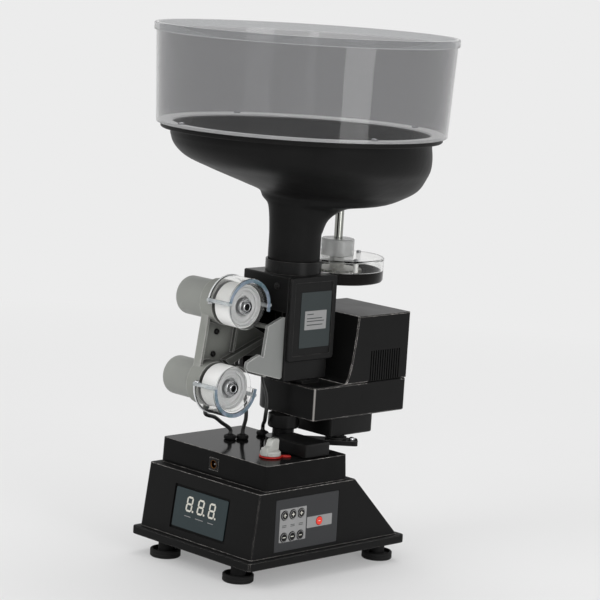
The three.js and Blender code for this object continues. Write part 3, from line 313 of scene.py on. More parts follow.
# %% Other finishes
def plain(name, levels, roughness, texture=None, edge=None, shade=0.0, **surface):
    """An even finish with clouds of tone, texture, and perhaps paler edges, as wear and painted
    highlight, and painted shade in its pockets.
    """
    finish = Finish(name, **surface)
    colour = tone(*levels)
    cloud = finish.grain(22)
    body = finish.mix(cloud, shaded(colour, 0.86), colour)
    if shade:
        # Painted shade: the colour darkens where ambient occlusion finds a pocket.
        open_share = finish.node("AmbientOcclusion", {"samples": 8},
                                 {"Distance": 50 * mm}, output="AO")
        body = finish.mix(((1 - open_share) * shade).clamp(), body, shaded(colour, 0.2))
    # Paler edges, as wear and painted highlight.
    if edge:
        body = finish.mix(worn_and_highlit_edges(finish, 1.8, 6.0, 9, least=0.6), body, grey(edge, 0.01))
    finish.set(Base_Color=body, Roughness=roughness - 0.05 + cloud * 0.1)
    if texture:
        finish.relief(*texture)
    return finish


plain("motor_paint", (148, 150, 145), 0.45, (1.0, 0.02))
# The frame gets painted shade in its pockets; it and the yoke get paler edges as painted highlight
# and wear.
plain("frame_paint", (146, 148, 142), 0.5, (1.2, 0.03), edge=190, shade=1.3)
plain("yoke_paint", (130, 132, 130), 0.45, (1.0, 0.03), edge=215)
plain("tyre_foam", (252, 252, 250), 0.8, (0.7, 0.15))
plain("hub_plastic", (208, 209, 210), 0.2, (3, 0.02))
plain("white_plastic", (250, 250, 248), 0.3, (3, 0.02))
# Painted light: this white plastic glows faintly, so that the wall's foot looks brightly lit.
plain("foot_plastic", (236, 236, 234), 0.3, (3, 0.02),
      Emission_Color=grey(255), Emission_Strength=0.3)
plain("knob_plastic", (190, 191, 186), 0.42, (1.5, 0.02))
plain("ring_paint", (196, 34, 26), 0.4, (1.5, 0.02))
plain("button_red", (244, 52, 30), 0.28, (2, 0.01))
plain("chrome", (194, 195, 197), 0.14, Metallic=1.0)
plain("rod_chrome", (146, 147, 142), 0.12, Metallic=1.0)
plain("steel", (150, 151, 153), 0.34, (0.5, 0.02), Metallic=1.0)
plain("brass", (122, 80, 40), 0.25, Metallic=1.0)
plain("panel_grey", (48, 49, 51), 0.5, (0.8, 0.02), Specular_IOR_Level=0.3)
plain("field_grey", (148, 148, 148), 0.5, (0.8, 0.01))
plain("window_tint", (42, 55, 58), 0.16, Specular_IOR_Level=0.25)
plain("label_tint", (44, 52, 53), 0.35, (0.9, 0.01), Specular_IOR_Level=0.3)
plain("print_white", (222, 220, 210), 0.4)
plain("segment_dark", (30, 36, 38), 0.3)
plain("gear_plastic", (176, 176, 170), 0.4, (1.5, 0.01))
plain("board_green", (34, 78, 50), 0.5, (2, 0.03))


def clear(name, levels, roughness, transmission, other=None, size=40, index=1.35):
    """A clear plastic: glass of a low index, with a little surface haze of the given size."""
    finish = Finish(name, IOR=index, Transmission_Weight=transmission)
    haze = finish.grain(size, 4.0)
    colour = tone(*levels)
    if other:
        colour = finish.mix(((haze - 0.5) * 3.0 + 0.5).clamp(), colour, tone(*other))
    finish.set(Base_Color=colour, Roughness=roughness + haze * 0.04)
    finish.relief(60, 0.2)
    return finish


clear("clear_acrylic", (250, 250, 249), 0.0, 1.0)
clear("frosted_acrylic", (222, 223, 222), 0.22, 0.6)
clear("bar_acrylic", (240, 243, 244), 0.06, 0.5, other=(190, 198, 202), size=6)
clear("case_acrylic", (24, 21, 19), 0.04, 0.6, index=1.2)
# A pale clear, used as a painted highlight on the guards' rear rim.
clear("edge_clear", (244, 246, 247), 0.12, 0.25)
clear("edge_blue", (84, 122, 130), 0.08, 0.5, other=(170, 180, 200), size=9)
clear("wall_smoke", (183, 183, 184), 0.0, 0.95, index=1.27)
# The lip's smoke is paler than the wall's, a painted highlight along the rim.
clear("lip_smoke", (196, 197, 198), 0.0, 0.95, index=1.12)
print("all finishes:", len(finishes))

# %% [markdown]
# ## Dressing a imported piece
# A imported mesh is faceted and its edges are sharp. It could be modelled again, but its shape is
# right, so its points stay as they are and modifiers do the rest: a weld closes the split points,
# a bevel rounds each real edge, and smooth shading carries the light across the facets of what is
# round.


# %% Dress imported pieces
def dress(node, finish, edge):
    """Gives a piece its finish; with no edge width its faces stay flat, as slotted walls need."""
    piece = nodes[node]
    piece.data.materials.clear()
    piece.data.materials.append(finishes[finish])
    custom = piece.data.attributes.get("custom_normal")
    if custom:
        piece.data.attributes.remove(custom)
    piece.data.polygons.foreach_set("use_smooth", [edge > 0] * len(piece.data.polygons))
    if edge:
        piece.modifiers.new("weld", "WELD").merge_threshold = 0.01 * mm
        bevel = piece.modifiers.new("bevel", "BEVEL")
        bevel.width, bevel.segments = edge * mm, 2
        bevel.angle_limit = radians(38)
        bevel.harden_normals = True


dressed = {
    "powder_black": "base_plate base_shell",
    "gloss_black": "top_case",
    "satin_black": "plinth swing_arm post pan_collar swing_gearbox channel_block label_cover stirrer "
                 "swing_crank",
    "worn_black": "lower_tray upper_housing",
    "frame_paint": "wheel_frame",
    "yoke_paint": "yoke_arm",
    "steel": "pivot_bolt_left pivot_bolt_right agitator_motor drive_pinion",
    "gear_plastic": "drive_gear",
    "board_green": "control_board",
    "panel_grey": "display_module keypad_panel",
}
edge_widths = {"base_plate": 0.8, "yoke_arm": 0.9, "wheel_frame": 0.6, "lower_tray": 0.6,
               "keypad_panel": 0.3, "drive_gear": 0.15, "drive_pinion": 0.1, "upper_housing": 0}
for finish, names in dressed.items():
    for name in names.split():
        dress(name, finish, edge_widths.get(name, 0.5))
print("dressed:", sum(len(names.split()) for names in dressed.values()), "packed pieces")

# %% [markdown]
# ## Building a piece
# Everything made here goes through one function, which makes the mesh, shades it smooth up to a
# sharp angle, turns its millimetres into metres and lets it ride on its body. Round pieces are
# turned from a profile of radius and height, as on a lathe, about an axis that a matrix sets up.


# %% Mesh helpers
def build(name, points, faces, finish, body, place, slot=None, node=None, sharp=35):
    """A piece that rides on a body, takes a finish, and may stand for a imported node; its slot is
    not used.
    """
    mesh = bpy.data.meshes.new(name)
    mesh.from_pydata([tuple(p) for p in points], [], faces)
    mesh.update()
    mesh.polygons.foreach_set("use_smooth", [True] * len(mesh.polygons))
    mesh.set_sharp_from_angle(angle=radians(sharp))
    mesh.materials.append(finishes[finish])
    mesh.transform(Matrix.Scale(mm, 4) @ place)
    piece = bpy.data.objects.new(name, mesh)
    scene.collection.objects.link(piece)
    if body:
        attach(piece, body)
    if node:
        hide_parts(node)
    return piece


def ring_faces(rings, sides, looped=False):
    """The faces between rings of points: with flat ends, or on from the last ring to the first."""
    faces = []
    for r in range(rings if looped else rings - 1):
        lower, upper = r * sides, (r + 1) % rings * sides
        for k in range(sides):
            j = (k + 1) % sides
            faces.append([lower + k, lower + j, upper + j, upper + k])
    if not looped:
        faces += [list(range(sides))[::-1], [(rings - 1) * sides + k for k in range(sides)]]
    return faces


def turned_mesh(profile, steps, turn=tau):
    """Points and faces of a profile of (radius, height) turned about Z."""
    columns = steps if turn == tau else steps + 1
    points, rows, faces = [], [], []
    for radius, height in profile:
        if radius == 0:
            rows.append([len(points)] * columns)
            points.append((0, 0, height))
            continue
        rows.append(range(len(points), len(points) + columns))
        points += [polar(radius, turn * i / steps, height) for i in range(columns)]
    for lower, upper in zip(rows, rows[1:]):
        for i in range(steps):
            j = (i + 1) % columns
            face = [lower[i], lower[j], upper[j], upper[i]]
            face = [p for k, p in enumerate(face) if p != face[k - 1]]
            if len(face) > 2:
                faces.append(face)
    return points, faces


def closed(profile):
    return [*profile, profile[0]]


def raised(profile, level):
    return [(reach, level + rise) for reach, rise in profile]


def softened(profile, radius, steps=4):
    """The profile with each corner rounded to about the radius."""
    out = [profile[0]]
    for points in zip(profile, profile[1:], profile[2:]):
        before, corner, after = (Vector(p) for p in points)
        reach = min(radius, (before - corner).length * 0.45, (after - corner).length * 0.45)
        start = corner + (before - corner).normalized() * reach
        end = corner + (after - corner).normalized() * reach
        for k in range(steps + 1):
            t = k / steps
            out.append(tuple(start * (1 - t) ** 2 + corner * 2 * t * (1 - t) + end * t * t))
    return [*out, profile[-1]]


def turned(name, profile, finish, body, place, slot=None, node=None, steps=96, round_by=0):
    if round_by:
        profile = softened(profile, round_by)
    return build(name, *turned_mesh(profile, steps), finish, body, place, slot, node)


# %% Places
def at(x, y, z=0.0):
    return Matrix.Translation((x, y, z))


def under(node, z=0.0):
    """A place below the middle of a node, at the height z."""
    return at(*middle(node).xy, z)


def spun(degrees):
    return Matrix.Rotation(radians(degrees), 4, "Z")


def facing_place(centre, across=(1, 0, 0), upward=(0, 0, 1)):
    """A place whose X runs across and whose Y runs upward, so that its Z faces out."""
    across, upward = Vector(across).normalized(), Vector(upward).normalized()
    axes = Matrix((across, upward, across.cross(upward))).transposed().to_4x4()
    return Matrix.Translation(centre) @ axes


# %% [markdown]
# ## Leads
# Three short black leads come down to rubber glands on the deck: two from the tilting wheel unit
# and one from the head. A lead is one smooth line with a round section. The two that cross both
# the tilt and the pan joint are made of an upper and a lower length.

# %% Routes of the leads
tilt_axis = Vector(joints["wheel_tilt"]["pos_m"]) / mm
wheel_axes = {place: Vector(joints[f"wheel_{place}_spin"]["pos_m"]) / mm
              for place in ("upper", "lower")}
wheels_apart = wheel_axes["upper"] - wheel_axes["lower"]
exit_angle = atan2(wheels_apart.y, wheels_apart.z)
unit = Matrix.Translation(tilt_axis) @ Matrix.Rotation(-exit_angle, 4, "X")
lead_radius, lead_ends, deck_end = 2, 4, 122.9
lead_points = {
    "lead_lower": [unit @ Vector((-20.75, -80.2, -67.4)), (-29, -68, 143.3), (-35.5, -52, 134.8),
                   (-34.3, -40.8, deck_end)],
    "lead_upper": [unit @ Vector((-29.5, -40.1, -16.3)), (-26, -32, 165), (-25, -29, 140),
                   (-28.1, -29.4, deck_end)],
    "lead_head": [(-9, -24, 185.7), (-5, -20.5, 163.3), (-7, -19.5, 142.3), (-31.2, 1.6, deck_end)],
}


def route(points):
    """The points with one more near each end, so that a lead comes out of its gland straight."""
    points = [Vector(p) for p in points]
    down = Vector((0, 0, -lead_ends))
    return [points[0], points[0] + down, *points[1:-1], points[-1] - down, points[-1]]


def smooth_line(points, steps=8):
    """A centripetal curve through the points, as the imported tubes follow."""
    ends = [points[0] * 2 - points[1], *points, points[-1] * 2 - points[-2]]
    line = []
    for a, b, c, d in zip(ends, ends[1:], ends[2:], ends[3:]):
        t1 = (b - a).length ** 0.5
        t2 = t1 + (c - b).length ** 0.5
        t3 = t2 + (d - c).length ** 0.5
        for k in range(steps):
            t = t1 + (t2 - t1) * k / steps
            ab, bc = a.lerp(b, t / t1), b.lerp(c, (t - t1) / (t2 - t1))
            cd = c.lerp(d, (t - t2) / (t3 - t2))
            abc, bcd = ab.lerp(bc, t / t2), bc.lerp(cd, (t - t1) / (t3 - t1))
            line.append(abc.lerp(bcd, (t - t1) / (t2 - t1)))
    return [*line, points[-1]]


def tube_mesh(line, radius, sides=16):
    """A round tube along the line, with closed ends and no twist."""
    points, across = [], Vector((1, 0, 0))
    for i, centre in enumerate(line):
        ahead = (line[min(i + 1, len(line) - 1)] - line[max(i - 1, 0)]).normalized()
        across = (across - ahead * across.dot(ahead)).normalized()
        axes = Matrix((across, ahead.cross(across), ahead)).transposed()
        points += [centre + axes @ polar(radius, tau * k / sides) for k in range(sides)]
    return points, ring_faces(len(line), sides)


def length_of(line):
    return sum((b - a).length for a, b in zip(line, line[1:]))


def lead(name, line, node):
    """One length of lead, a tube along the line, which stands for the imported node."""
    piece = build(name, *tube_mesh(line, lead_radius), "lead_rubber", None, Matrix(), "lead_black",
                  sharp=60)
    path = [point * mm for point in line]
    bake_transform(piece)
    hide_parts(node)
    length_of(path)
    print(name, round(length_of(line)), "mm")


def halves(line):
    half, run = length_of(line) / 2, 0.0
    for i, (a, b) in enumerate(zip(line, line[1:])):
        run += (b - a).length
        if run >= half:
            return line[:i + 2], line[i + 1:]


# %% Make the leads
for name, points in lead_points.items():
    line = smooth_line(route(points))
    if name == "lead_head":
        lead("lead_from_head", line, name)
        continue
    upper, lower = halves(line)
    lead(f"{name}_top", upper, name)
    lead(f"{name}_end", lower, name)

# %% [markdown]
# ## Sheets and screws
# Flat things such as labels, marks and panels are outlines filled between a lower and an upper
# level, with holes where an inner outline asks for one. Cutting holes out of plates would do too,
# but Blender's filled curves do both at once. Screw heads are rings of points, and since their
# drive recess is a hexagon or a cross, the radius of its rings varies with the angle.


# %% Sheet and screw helpers
def rounded(width, height, radius, x=0.0, y=0.0, steps=6):
    """The outline of a rounded rectangle about (x, y)."""
    outline = []
    for corner, (sx, sy) in enumerate(((1, 1), (-1, 1), (-1, -1), (1, -1))):
        for k in range(steps + 1):
            point = polar(radius, pi / 2 * (corner + k / steps))
            outline.append((x + sx * (width / 2 - radius) + point.x,
                            y + sy * (height / 2 - radius) + point.y))
    return outline


def circle(radius, x=0.0, y=0.0, steps=40):
    return [(polar(radius, tau * k / steps).xy + Vector((x, y)))[:] for k in range(steps)]


def sheet(name, loops, foot, top, finish, body, place, slot=None, node=None, edge=0.0):
    """A flat piece in the XY plane of its place, from foot to top along its Z."""
    curve = bpy.data.curves.new(name, "CURVE")
    curve.dimensions, curve.fill_mode = "2D", "BOTH"
    curve.extrude, curve.bevel_depth, curve.bevel_resolution = (top - foot) / 2 - edge, edge, 2
    curve.offset = -edge
    for loop in loops:
        spline = curve.splines.new("POLY")
        spline.points.add(len(loop) - 1)
        for point, (x, y) in zip(spline.points, loop):
            point.co = (x, y, 0, 1)
        spline.use_cyclic_u = True
    carrier = bpy.data.objects.new(name, curve)
    flat = bpy.data.meshes.new_from_object(carrier)
    bpy.data.objects.remove(carrier)
    bpy.data.curves.remove(curve)
    points = [vertex.co + Vector((0, 0, (foot + top) / 2)) for vertex in flat.vertices]
    faces = [list(polygon.vertices) for polygon in flat.polygons]
    bpy.data.meshes.remove(flat)
    return build(name, points, faces, finish, body, place, slot, node)


def cross_recess(angle, radius):
    """How far a cross-shaped recess reaches at an angle, in a head of the given radius."""
    turn = (angle + pi / 4) % (pi / 2) - pi / 4
    along, across = abs(cos(turn)), abs(sin(turn))
    return radius * min(0.52 / along, 0.12 / max(across, 1e-6))


def hex_recess(angle, radius):
    return radius * 0.48 * cos(pi / 6) / cos(angle % (pi / 3) - pi / 6)


def screw(name, place, radius, height, finish, body, node=None, slot="screw_chrome",
          recess=cross_recess):
    """A domed head on the XY plane of its place, with a recess in its top."""
    rings = [(1, 0), (1, 0.3), (0.93, 0.62), (0.78, 0.86), (0.6, 1), (recess, 1), (recess, 0.4)]
    points, sides = [], 96
    for share, level in rings:
        for angle in (tau * k / sides for k in range(sides)):
            reach = recess(angle, radius) if share is recess else radius * share
            points.append(polar(reach, angle, height * level))
    return build(name, points, ring_faces(len(rings), sides), finish, body, place, slot, node, 40)


# %% [markdown]
# ## Feet
# Each rubber foot is a disc with a hollow underside, a waist and a stud. All of it is round, so one
# profile makes it. The disc has a fine groove round it, where the two halves of its mould met.

# %% Feet
foot_profile = [
    (0, 1), (10.4, 1), (11, 0), (14.4, 0), (15.5, 1.1), (15.5, 3.6), (15.2, 3.9), (15.2, 4.2),
    (15.5, 4.5), (15.5, 7), (14.5, 8), (13.4, 8), (12.9, 7.4), (12.9, 5), (8.4, 5), (7.5, 5.9),
    (7.5, 17.1), (6.9, 17.7), (4, 17.7), (4, 27.3), (0, 27.3),
]
feet = ["foot_front_left", "foot_front_right", "foot_rear_left", "foot_rear_right"]
for name in feet:
    turned(name + "_pad", foot_profile, "foot_rubber", name, under(name), "foot_rubber", name,
           round_by=0.25)
print("feet:", len(feet))

# %% [markdown]
# ## Display
# The window leans back with the shell's front. Its three digits are seven bars and a point each,
# printed pale on the tinted window, with three short bars under them. Text of a font would have
# other shapes, so the bars are drawn as outlines, and the digits lean by a shift that grows with
# the height.

# %% Display window
window_low = low("display_window")
window_lean = atan2(8.4, 64.4)  # the shell's front goes back by 8.4 over its height of 64.4
window_wide, window_tall, window_thick = high("display_window").x - window_low.x, 39.5, 1.4
window_foot = Vector((middle("display_window").x, window_low.y, window_low.z + 0.18))
window_up = Vector((0, sin(window_lean), cos(window_lean)))
window_face = facing_place(window_foot + window_up * window_tall / 2, upward=window_up)
sheet("display_glass", [rounded(window_wide, window_tall, 1.5)], -window_thick, 0, "window_tint",
      "base", window_face, "display_tint", "display_window", edge=0.25)
print("display window:", round(window_wide, 1), "by", window_tall, "mm")

# %% Digits
bar_gap = 0.16


def bar(start, end, width):
    """One segment of a digit: a bar with pointed ends."""
    along = (end - start).normalized() * width / 2
    start, end = start + along * bar_gap, end - along * bar_gap
    across = Vector((-along.y, along.x))
    inner, outer = start + along, end - along
    return [start, inner + across, outer + across, end, outer - across, inner - across]


digit_tall, digit_wide, digit_bar, digit_slant = 13.6, 7.2, 1.9, 0.09
digit_pitch, digit_shift, digit_rise = 16.3, 0.3, 5.6
corners = {(column, row): Vector(((column - 0.5) * digit_wide, (row - 1) * digit_tall / 2))
           for column in (0, 1) for row in (0, 1, 2)}
segments = [((0, 0), (1, 0)), ((0, 1), (1, 1)), ((0, 2), (1, 2)), ((0, 0), (0, 1)),
            ((0, 1), (0, 2)), ((1, 0), (1, 1)), ((1, 1), (1, 2))]
outlines = []
for i in range(3):
    x = (i - 1) * digit_pitch + digit_shift
    for a, b in segments:
        outlines.append([(p.x + p.y * digit_slant + x, p.y + digit_rise)
                         for p in bar(corners[a], corners[b], digit_bar)])
    outlines.append(circle(1.15, x + digit_wide * 0.78, digit_rise - digit_tall / 2 + 0.2, 20))
sheet("display_digits", outlines, 0.01, 0.13, "print_white", "base", window_face)
captions = [rounded(width, 0.7, 0.2, x, -6.8, 2)
            for x, width in ((-16.6, 9), (0.4, 11.5), (16.9, 8))]
sheet("display_captions", captions, 0.01, 0.11, "field_grey", "base", window_face)
print("display:", len(outlines), "segments and points")

# %% [markdown]
# ## Keypad
# The panel on the side holds two rows of three round keys on a pale field, and a red button on a
# second field. The fields have holes, so that each key moves through its own. A key carries a
# plus or a minus, which is a piece of its own and rides on the key.

# %% Keypad panel and its fields
panel_low, panel_high = low("keypad_panel"), high("keypad_panel")
panel_up = Vector((-0.012421, 0, 0.999923)).normalized()  # the tier's side leans in a little
panel_centre = middle("keypad_panel")
panel_centre.x = panel_high.x + (panel_high.z - panel_low.z) / 2 * panel_up.x
panel_face = facing_place(panel_centre, (0, 1, 0), panel_up)


def on_panel(node):
    """Where a key's centre falls on the panel, across and up."""
    offset = middle(node) - panel_centre
    return offset.y, offset.dot(panel_up)


keys = [f"key_{row}_{column}" for row in ("up", "down") for column in (1, 2, 3)]
key_centres = {key: on_panel(key) for key in keys}
button_centre = on_panel("power_button")
key_hole, button_hole = 5.1, 4.6
ink_low, ink = 0.02, 0.1
ink_high = ink_low + ink
key_fields = [rounded(23.8, 33, 0.8, -25.4, -0.4), rounded(11.8, 33, 0.8, -7.2, -0.4)]
key_fields += [circle(key_hole, *centre) for centre in key_centres.values()]
sheet("keypad_fields", key_fields, ink_low, ink_high, "field_grey", "base", panel_face)
button_field = [rounded(34.6, 11.2, 0.8, 17.4, -1.4), circle(button_hole, *button_centre)]
sheet("button_field", button_field, ink_low, ink_high, "field_grey", "base", panel_face)
captions = [rounded(5.6, 0.6, 0.2, key_centres[key][0], level, 2)
            for key in keys[:3] for level in (-1.8, -0.3)]
sheet("keypad_captions", captions, ink_high, ink_high + ink, "segment_dark", "base", panel_face)
print("keypad:", len(key_fields) + len(button_field), "outlines")

# %% Keys and button
key_top, dish = 0.8, 0.6
key_profile = [(0, -1.8), (4.6, -1.8), (4.6, 0.45), (4.25, key_top), (3.7, key_top), (3.45, dish),
               (0, dish)]
key_ring = [circle(4.18), circle(3.78)]
plus = [(-2, -0.4), (-0.4, -0.4), (-0.4, -2), (0.4, -2), (0.4, -0.4), (2, -0.4),
        (2, 0.4), (0.4, 0.4), (0.4, 2), (-0.4, 2), (-0.4, 0.4), (-2, 0.4)]
minus = rounded(4, 0.8, 0.2, steps=2)
for key, centre in key_centres.items():
    place = panel_face @ at(*centre)
    turned(key + "_cap", key_profile, "satin_black", key, place, "key_black", key, 64, 0.12)
    sheet(key + "_ring", key_ring, key_top, key_top + ink / 2, "field_grey", key, place)
    sheet(key + "_mark", [plus if "up" in key else minus], dish, dish + ink * 0.6, "print_white", key,
          place)
button_profile = [(0, -1.8), (4.1, -1.8), (4.1, 0.5), (3.7, 0.8), (3.1, 0.8), (2.7, 0.62), (0, 0.5)]
place, button = panel_face @ at(*button_centre), "power_button"
turned(button + "_cap", button_profile, "button_red", button, place, "button_red", button, 64, 0.15)
sheet(button + "_mark", [rounded(2.6, 0.7, 0.2, steps=2)], 0.53, 0.59, "print_white", button, place)
print("keys:", len(keys), "and a button")

# %% [markdown]
# ## On the deck
# The polished deck carries three fat rubber rings where the leads go in, the knob with its red
# marker ring, and the swing arm's screw. The power socket is in the tier's front. The knob's skirt
# is turned, while its grip is a flat outline seen from the side, as thick as the grip is wide.

# %% Glands
gland_profile = [
    (5.4, 0), (6.1, 0.5), (6.3, 1.3), (6.3, 2.3), (6, 3.2), (5.3, 3.9), (4.5, 3.9), (3.8, 3.3),
    (3.3, 3.3), (3, 4.2), (2.6, 5.4), (2.15, 5.4), (2.15, 4.7), (0, 4.7)]
for name in ("grommet_lower", "grommet_upper", "grommet_head"):
    foot, on_deck = low(name).z, high(name).z - 5
    profile = [(0, foot), (3.3, foot), (3.3, on_deck), *raised(gland_profile, on_deck)]
    turned(name + "_gland", profile, "foot_rubber", "base", under(name), "grommet_rubber", name, 64,
           0.12)
print("the deck is at", round(on_deck, 1), "mm")

# %% Knob and marker ring
knob_low, knob_high = low("pointer_knob").z, high("pointer_knob").z
ring_low, ring_high = low("knob_ring").z, high("knob_ring").z
knob_place, skirt = under("pointer_knob"), ring_high + 0.3
skirt_profile = [(3, 0), (10, 0), (10.3, 0.3), (10.3, 1.9), (10.05, 2.1), (10.05, 2.4), (10.3, 2.6),
                 (10.1, 3.6), (9.2, 4.5), (0, 4.6)]
turned("knob_skirt", [(0, knob_low), (3, knob_low), *raised(skirt_profile, skirt)], "knob_plastic",
       "knob", knob_place, "knob_grey", "pointer_knob", 96, 0.2)
grip_place, grip_half = knob_place @ spun(-80), 3.8
grip_side = [
    *raised([(-8.8, 0.4), (10.9, 0.4), (11.1, 7.8), (10.2, 8.4), (6.4, 8.7), (4.2, 9.4)], skirt),
    *raised([(2.6, -2.6), (1.6, -0.8), (0.2, 0), (-7.6, 0), (-8.8, -1.4)], knob_high)]
sheet("knob_grip", [grip_side], -grip_half, grip_half, "knob_plastic", "knob",
      grip_place @ facing_place((0, 0, 0)), "knob_grey", edge=0.7)
sheet("knob_pointer", [rounded(5.2, 0.9, 0.3, -4.2, 0, 3)], knob_high - 0.02, knob_high + 0.1,
      "segment_dark", "knob", grip_place)
sheet("marker_ring", [circle(11.2, steps=64), circle(3.4)], ring_low, ring_high, "ring_paint", "knob",
      knob_place, "ring_red", "knob_ring", edge=0.3)
loop_turn = Matrix.Rotation(atan2(40.5, 25.8), 4, "Z")
sheet("marker_loop", [rounded(10.4, 6.4, 3.1), rounded(7.8, 3.8, 1.8)], ring_low, ring_low + 1.2,
      "ring_paint", "knob", knob_place @ loop_turn @ at(15.6, 0), edge=0.25)
print("knob: from", round(skirt, 1), "to", round(knob_high, 1), "mm")

# %% Power socket and arm screw
jack_low, jack_front = low("jack_socket"), middle("jack_socket")
jack_wide, jack_deep, jack_tall = high("jack_socket") - jack_low
jack_front.y = jack_low.y
jack_face = facing_place(jack_front)
sheet("socket_frame", [rounded(jack_wide, jack_tall, 0.8), circle(4.5, steps=48)], -jack_deep, 0,
      "satin_black", "base", jack_face, "socket_metal", "jack_socket", edge=0.3)
barrel = closed([(3.5, -8.6), (4.4, -8.6), (4.4, -0.9), (4.1, -0.5), (3.8, -0.5), (3.5, -0.9)])
turned("socket_barrel", barrel, "brass", "base", jack_face, "socket_metal", steps=64)
pin = [(0, -10.4), (4.3, -10.4), (4.3, -8.8), (1.3, -8.8), (1.3, -3), (0.8, -2.2), (0, -2.1)]
turned("socket_pin", pin, "steel", "base", jack_face, "socket_metal", steps=48)
arm_top = low("arm_screw").z
screw("arm_screw_head", under("arm_screw", arm_top), 3, 2.2, "chrome", "base", "arm_screw")
print("socket:", round(jack_wide, 1), "mm wide")

# %% [markdown]
# ## Block and label
# The label's place on the block's side cover holds a plain tinted plate with a pale field of
# unlettered lines. Each lies on the one before, so that no two faces share a plane and flicker. A
# screw sits in the block's front.

# %% Label plate and screw
label_face = facing_place((high("label_cover").x - 1.2, 4.5, 247.2), (0, 1, 0))
sheet("label_plate", [rounded(42, 56, 1.2)], 0, 0.3, "label_tint", "head", label_face, edge=0.1)
sheet("label_field", [rounded(30, 19, 0.5, 0, -0.5)], 0.3, 0.4, "field_grey", "head", label_face)
lines = [rounded(width, 0.9, 0.2, (width - 24) / 2, level, 2)
         for width, level in ((9, 5.6), (21, 1.4), (24, -1.4), (22, -5.2))]
sheet("label_lines", lines, 0.4, 0.45, "segment_dark", "head", label_face)
block_front = low("channel_block").y
screw("block_screw", facing_place((11.7, block_front, 280.3)), 3.4, 1.8, "satin_black", "head")
print("label:", len(lines), "lines")

# %% [markdown]
# ## Hopper
# The bowl starts as the neck, a circle about the ball channel, and grows and drifts backwards into
# the rim. Such a shape can't be turned, so it is a loft: rings of points joined by faces. The
# rings are given by their level and by how far their front and back edges reach, as in the packed
# model, with a smooth curve through them here.

# %% Bowl
neck_radius, rim_radius, bowl_wall = 26.2, 130.2, 3
neck_low, bowl_foot, bowl_deep, flange_low, flange_high = 304.3, 330, 94, 430, 434.7
stations = [(0, 0, 0), (0.16, 0, 0.07), (0.28, -0.01, 0.26), (0.35, -0.02, 0.76), (0.42, 0, 0.94),
            (0.5, 0.18, 1.03), (0.66, 0.58, 1.05), (0.78, 0.84, 1.04), (0.9, 0.96, 1.02), (1, 1, 1)]


def rings_of_bowl(inset):
    """Circles (radius, level, drift backwards) up the bowl, moved in by the inset."""
    rings = []
    for level, *shares in smooth_line([Vector(s) for s in stations], 7):
        front, behind = (neck_radius + share * (rim_radius - neck_radius) - inset for share in shares)
        rings.append(((behind + front) / 2, bowl_foot + level * bowl_deep + inset,
                      (behind - front) / 2))
    return rings


outer_rings = [
    *raised([(25.6, -12), (25.6, -0.2), (26, 0), (neck_radius, 0.3)], neck_low), *rings_of_bowl(0),
    *raised([(rim_radius, -2), (130.8, -0.4), (131.6, 0), (139.6, 0), (140.2, 0.6)], flange_low),
    *raised([(140.2, -0.6), (139.6, 0)], flange_high)]
inner_rings = [*raised([(128, 0), (127.2, -0.8)], flange_high), *rings_of_bowl(bowl_wall)[::-1],
               *raised([(23.2, 0), (23.2, -12)], neck_low)]
rings, sides = outer_rings + inner_rings, 144
points = [polar(radius, tau * k / sides, level) + Vector((0, sum(drift), 0))
          for radius, level, *drift in rings for k in range(sides)]
bowl = build("bowl_skin", points, ring_faces(len(rings), sides, looped=True), "bowl_black", "head",
             Matrix(), "bowl_black", "hopper_bowl", 40)
# The inside takes the paler black, painted light from the open top.
bowl.data.materials.append(finishes["bowl_inside_painted_light"])
for polygon in bowl.data.polygons[len(outer_rings) * sides:]:
    polygon.material_index = 1
print("bowl:", len(rings), "circles of", sides, "points")

# %% [markdown]
# The clear wall stands on the flange with a foot of its own, held down by four screws. It widens a
# little upwards, and ends in a lip that catches the light. Wall, lip and foot are turned one by
# one, because each has a finish of its own.

# %% Wall and screws
wall_low, wall_high = 435, 532.4
skin = closed([(144.4, wall_low), (144.8, 435.4), (149, 524.4), (146.4, 524.4), (142.2, wall_low)])
turned("wall_skin", skin, "wall_smoke", "head", Matrix(), "wall_clear", "hopper_wall", 144)
lip = closed([
    (149, 524.5), (149.5, 524.5), (150.8, 524.9), (151.2, 525.5), (151.2, 531.6),
    (150.4, wall_high), (147.2, wall_high), (146.4, 531.6), (146.4, 524.5)])
# Painted highlight: the lip is a paler smoke than the wall.
turned("wall_lip", lip, "lip_smoke", "head", Matrix(), "wall_clear", steps=144)
foot = closed([(128.8, wall_low), (142.1, wall_low), (142.1, 437.6), (141.5, 437), (129.4, 437),
               (128.8, 436.4)])
# The foot glows faintly, a painted light.
turned("wall_foot", foot, "foot_plastic", "head", Matrix(), "wall_clear", steps=144)
for k in range(4):
    place = spun(-14 + 90 * k) @ at(134.5, 0, wall_low + 2)
    screw(f"wall_screw_{k + 1}", place, 3.2, 2.4, "chrome", "head")
print("the wall's top is at", wall_high, "mm")

# %% [markdown]
# ## Agitator drive
# A bright rod stands in a round clear case: smoky below, clear above, with a clear cap on top. The
# pale drive gear shows through it. Its cover is held by white screw posts at the rim. A clear
# piece needs a real wall, with an inside and an outside, for light to bend as it does in plastic,
# so the profile of each is a closed one.

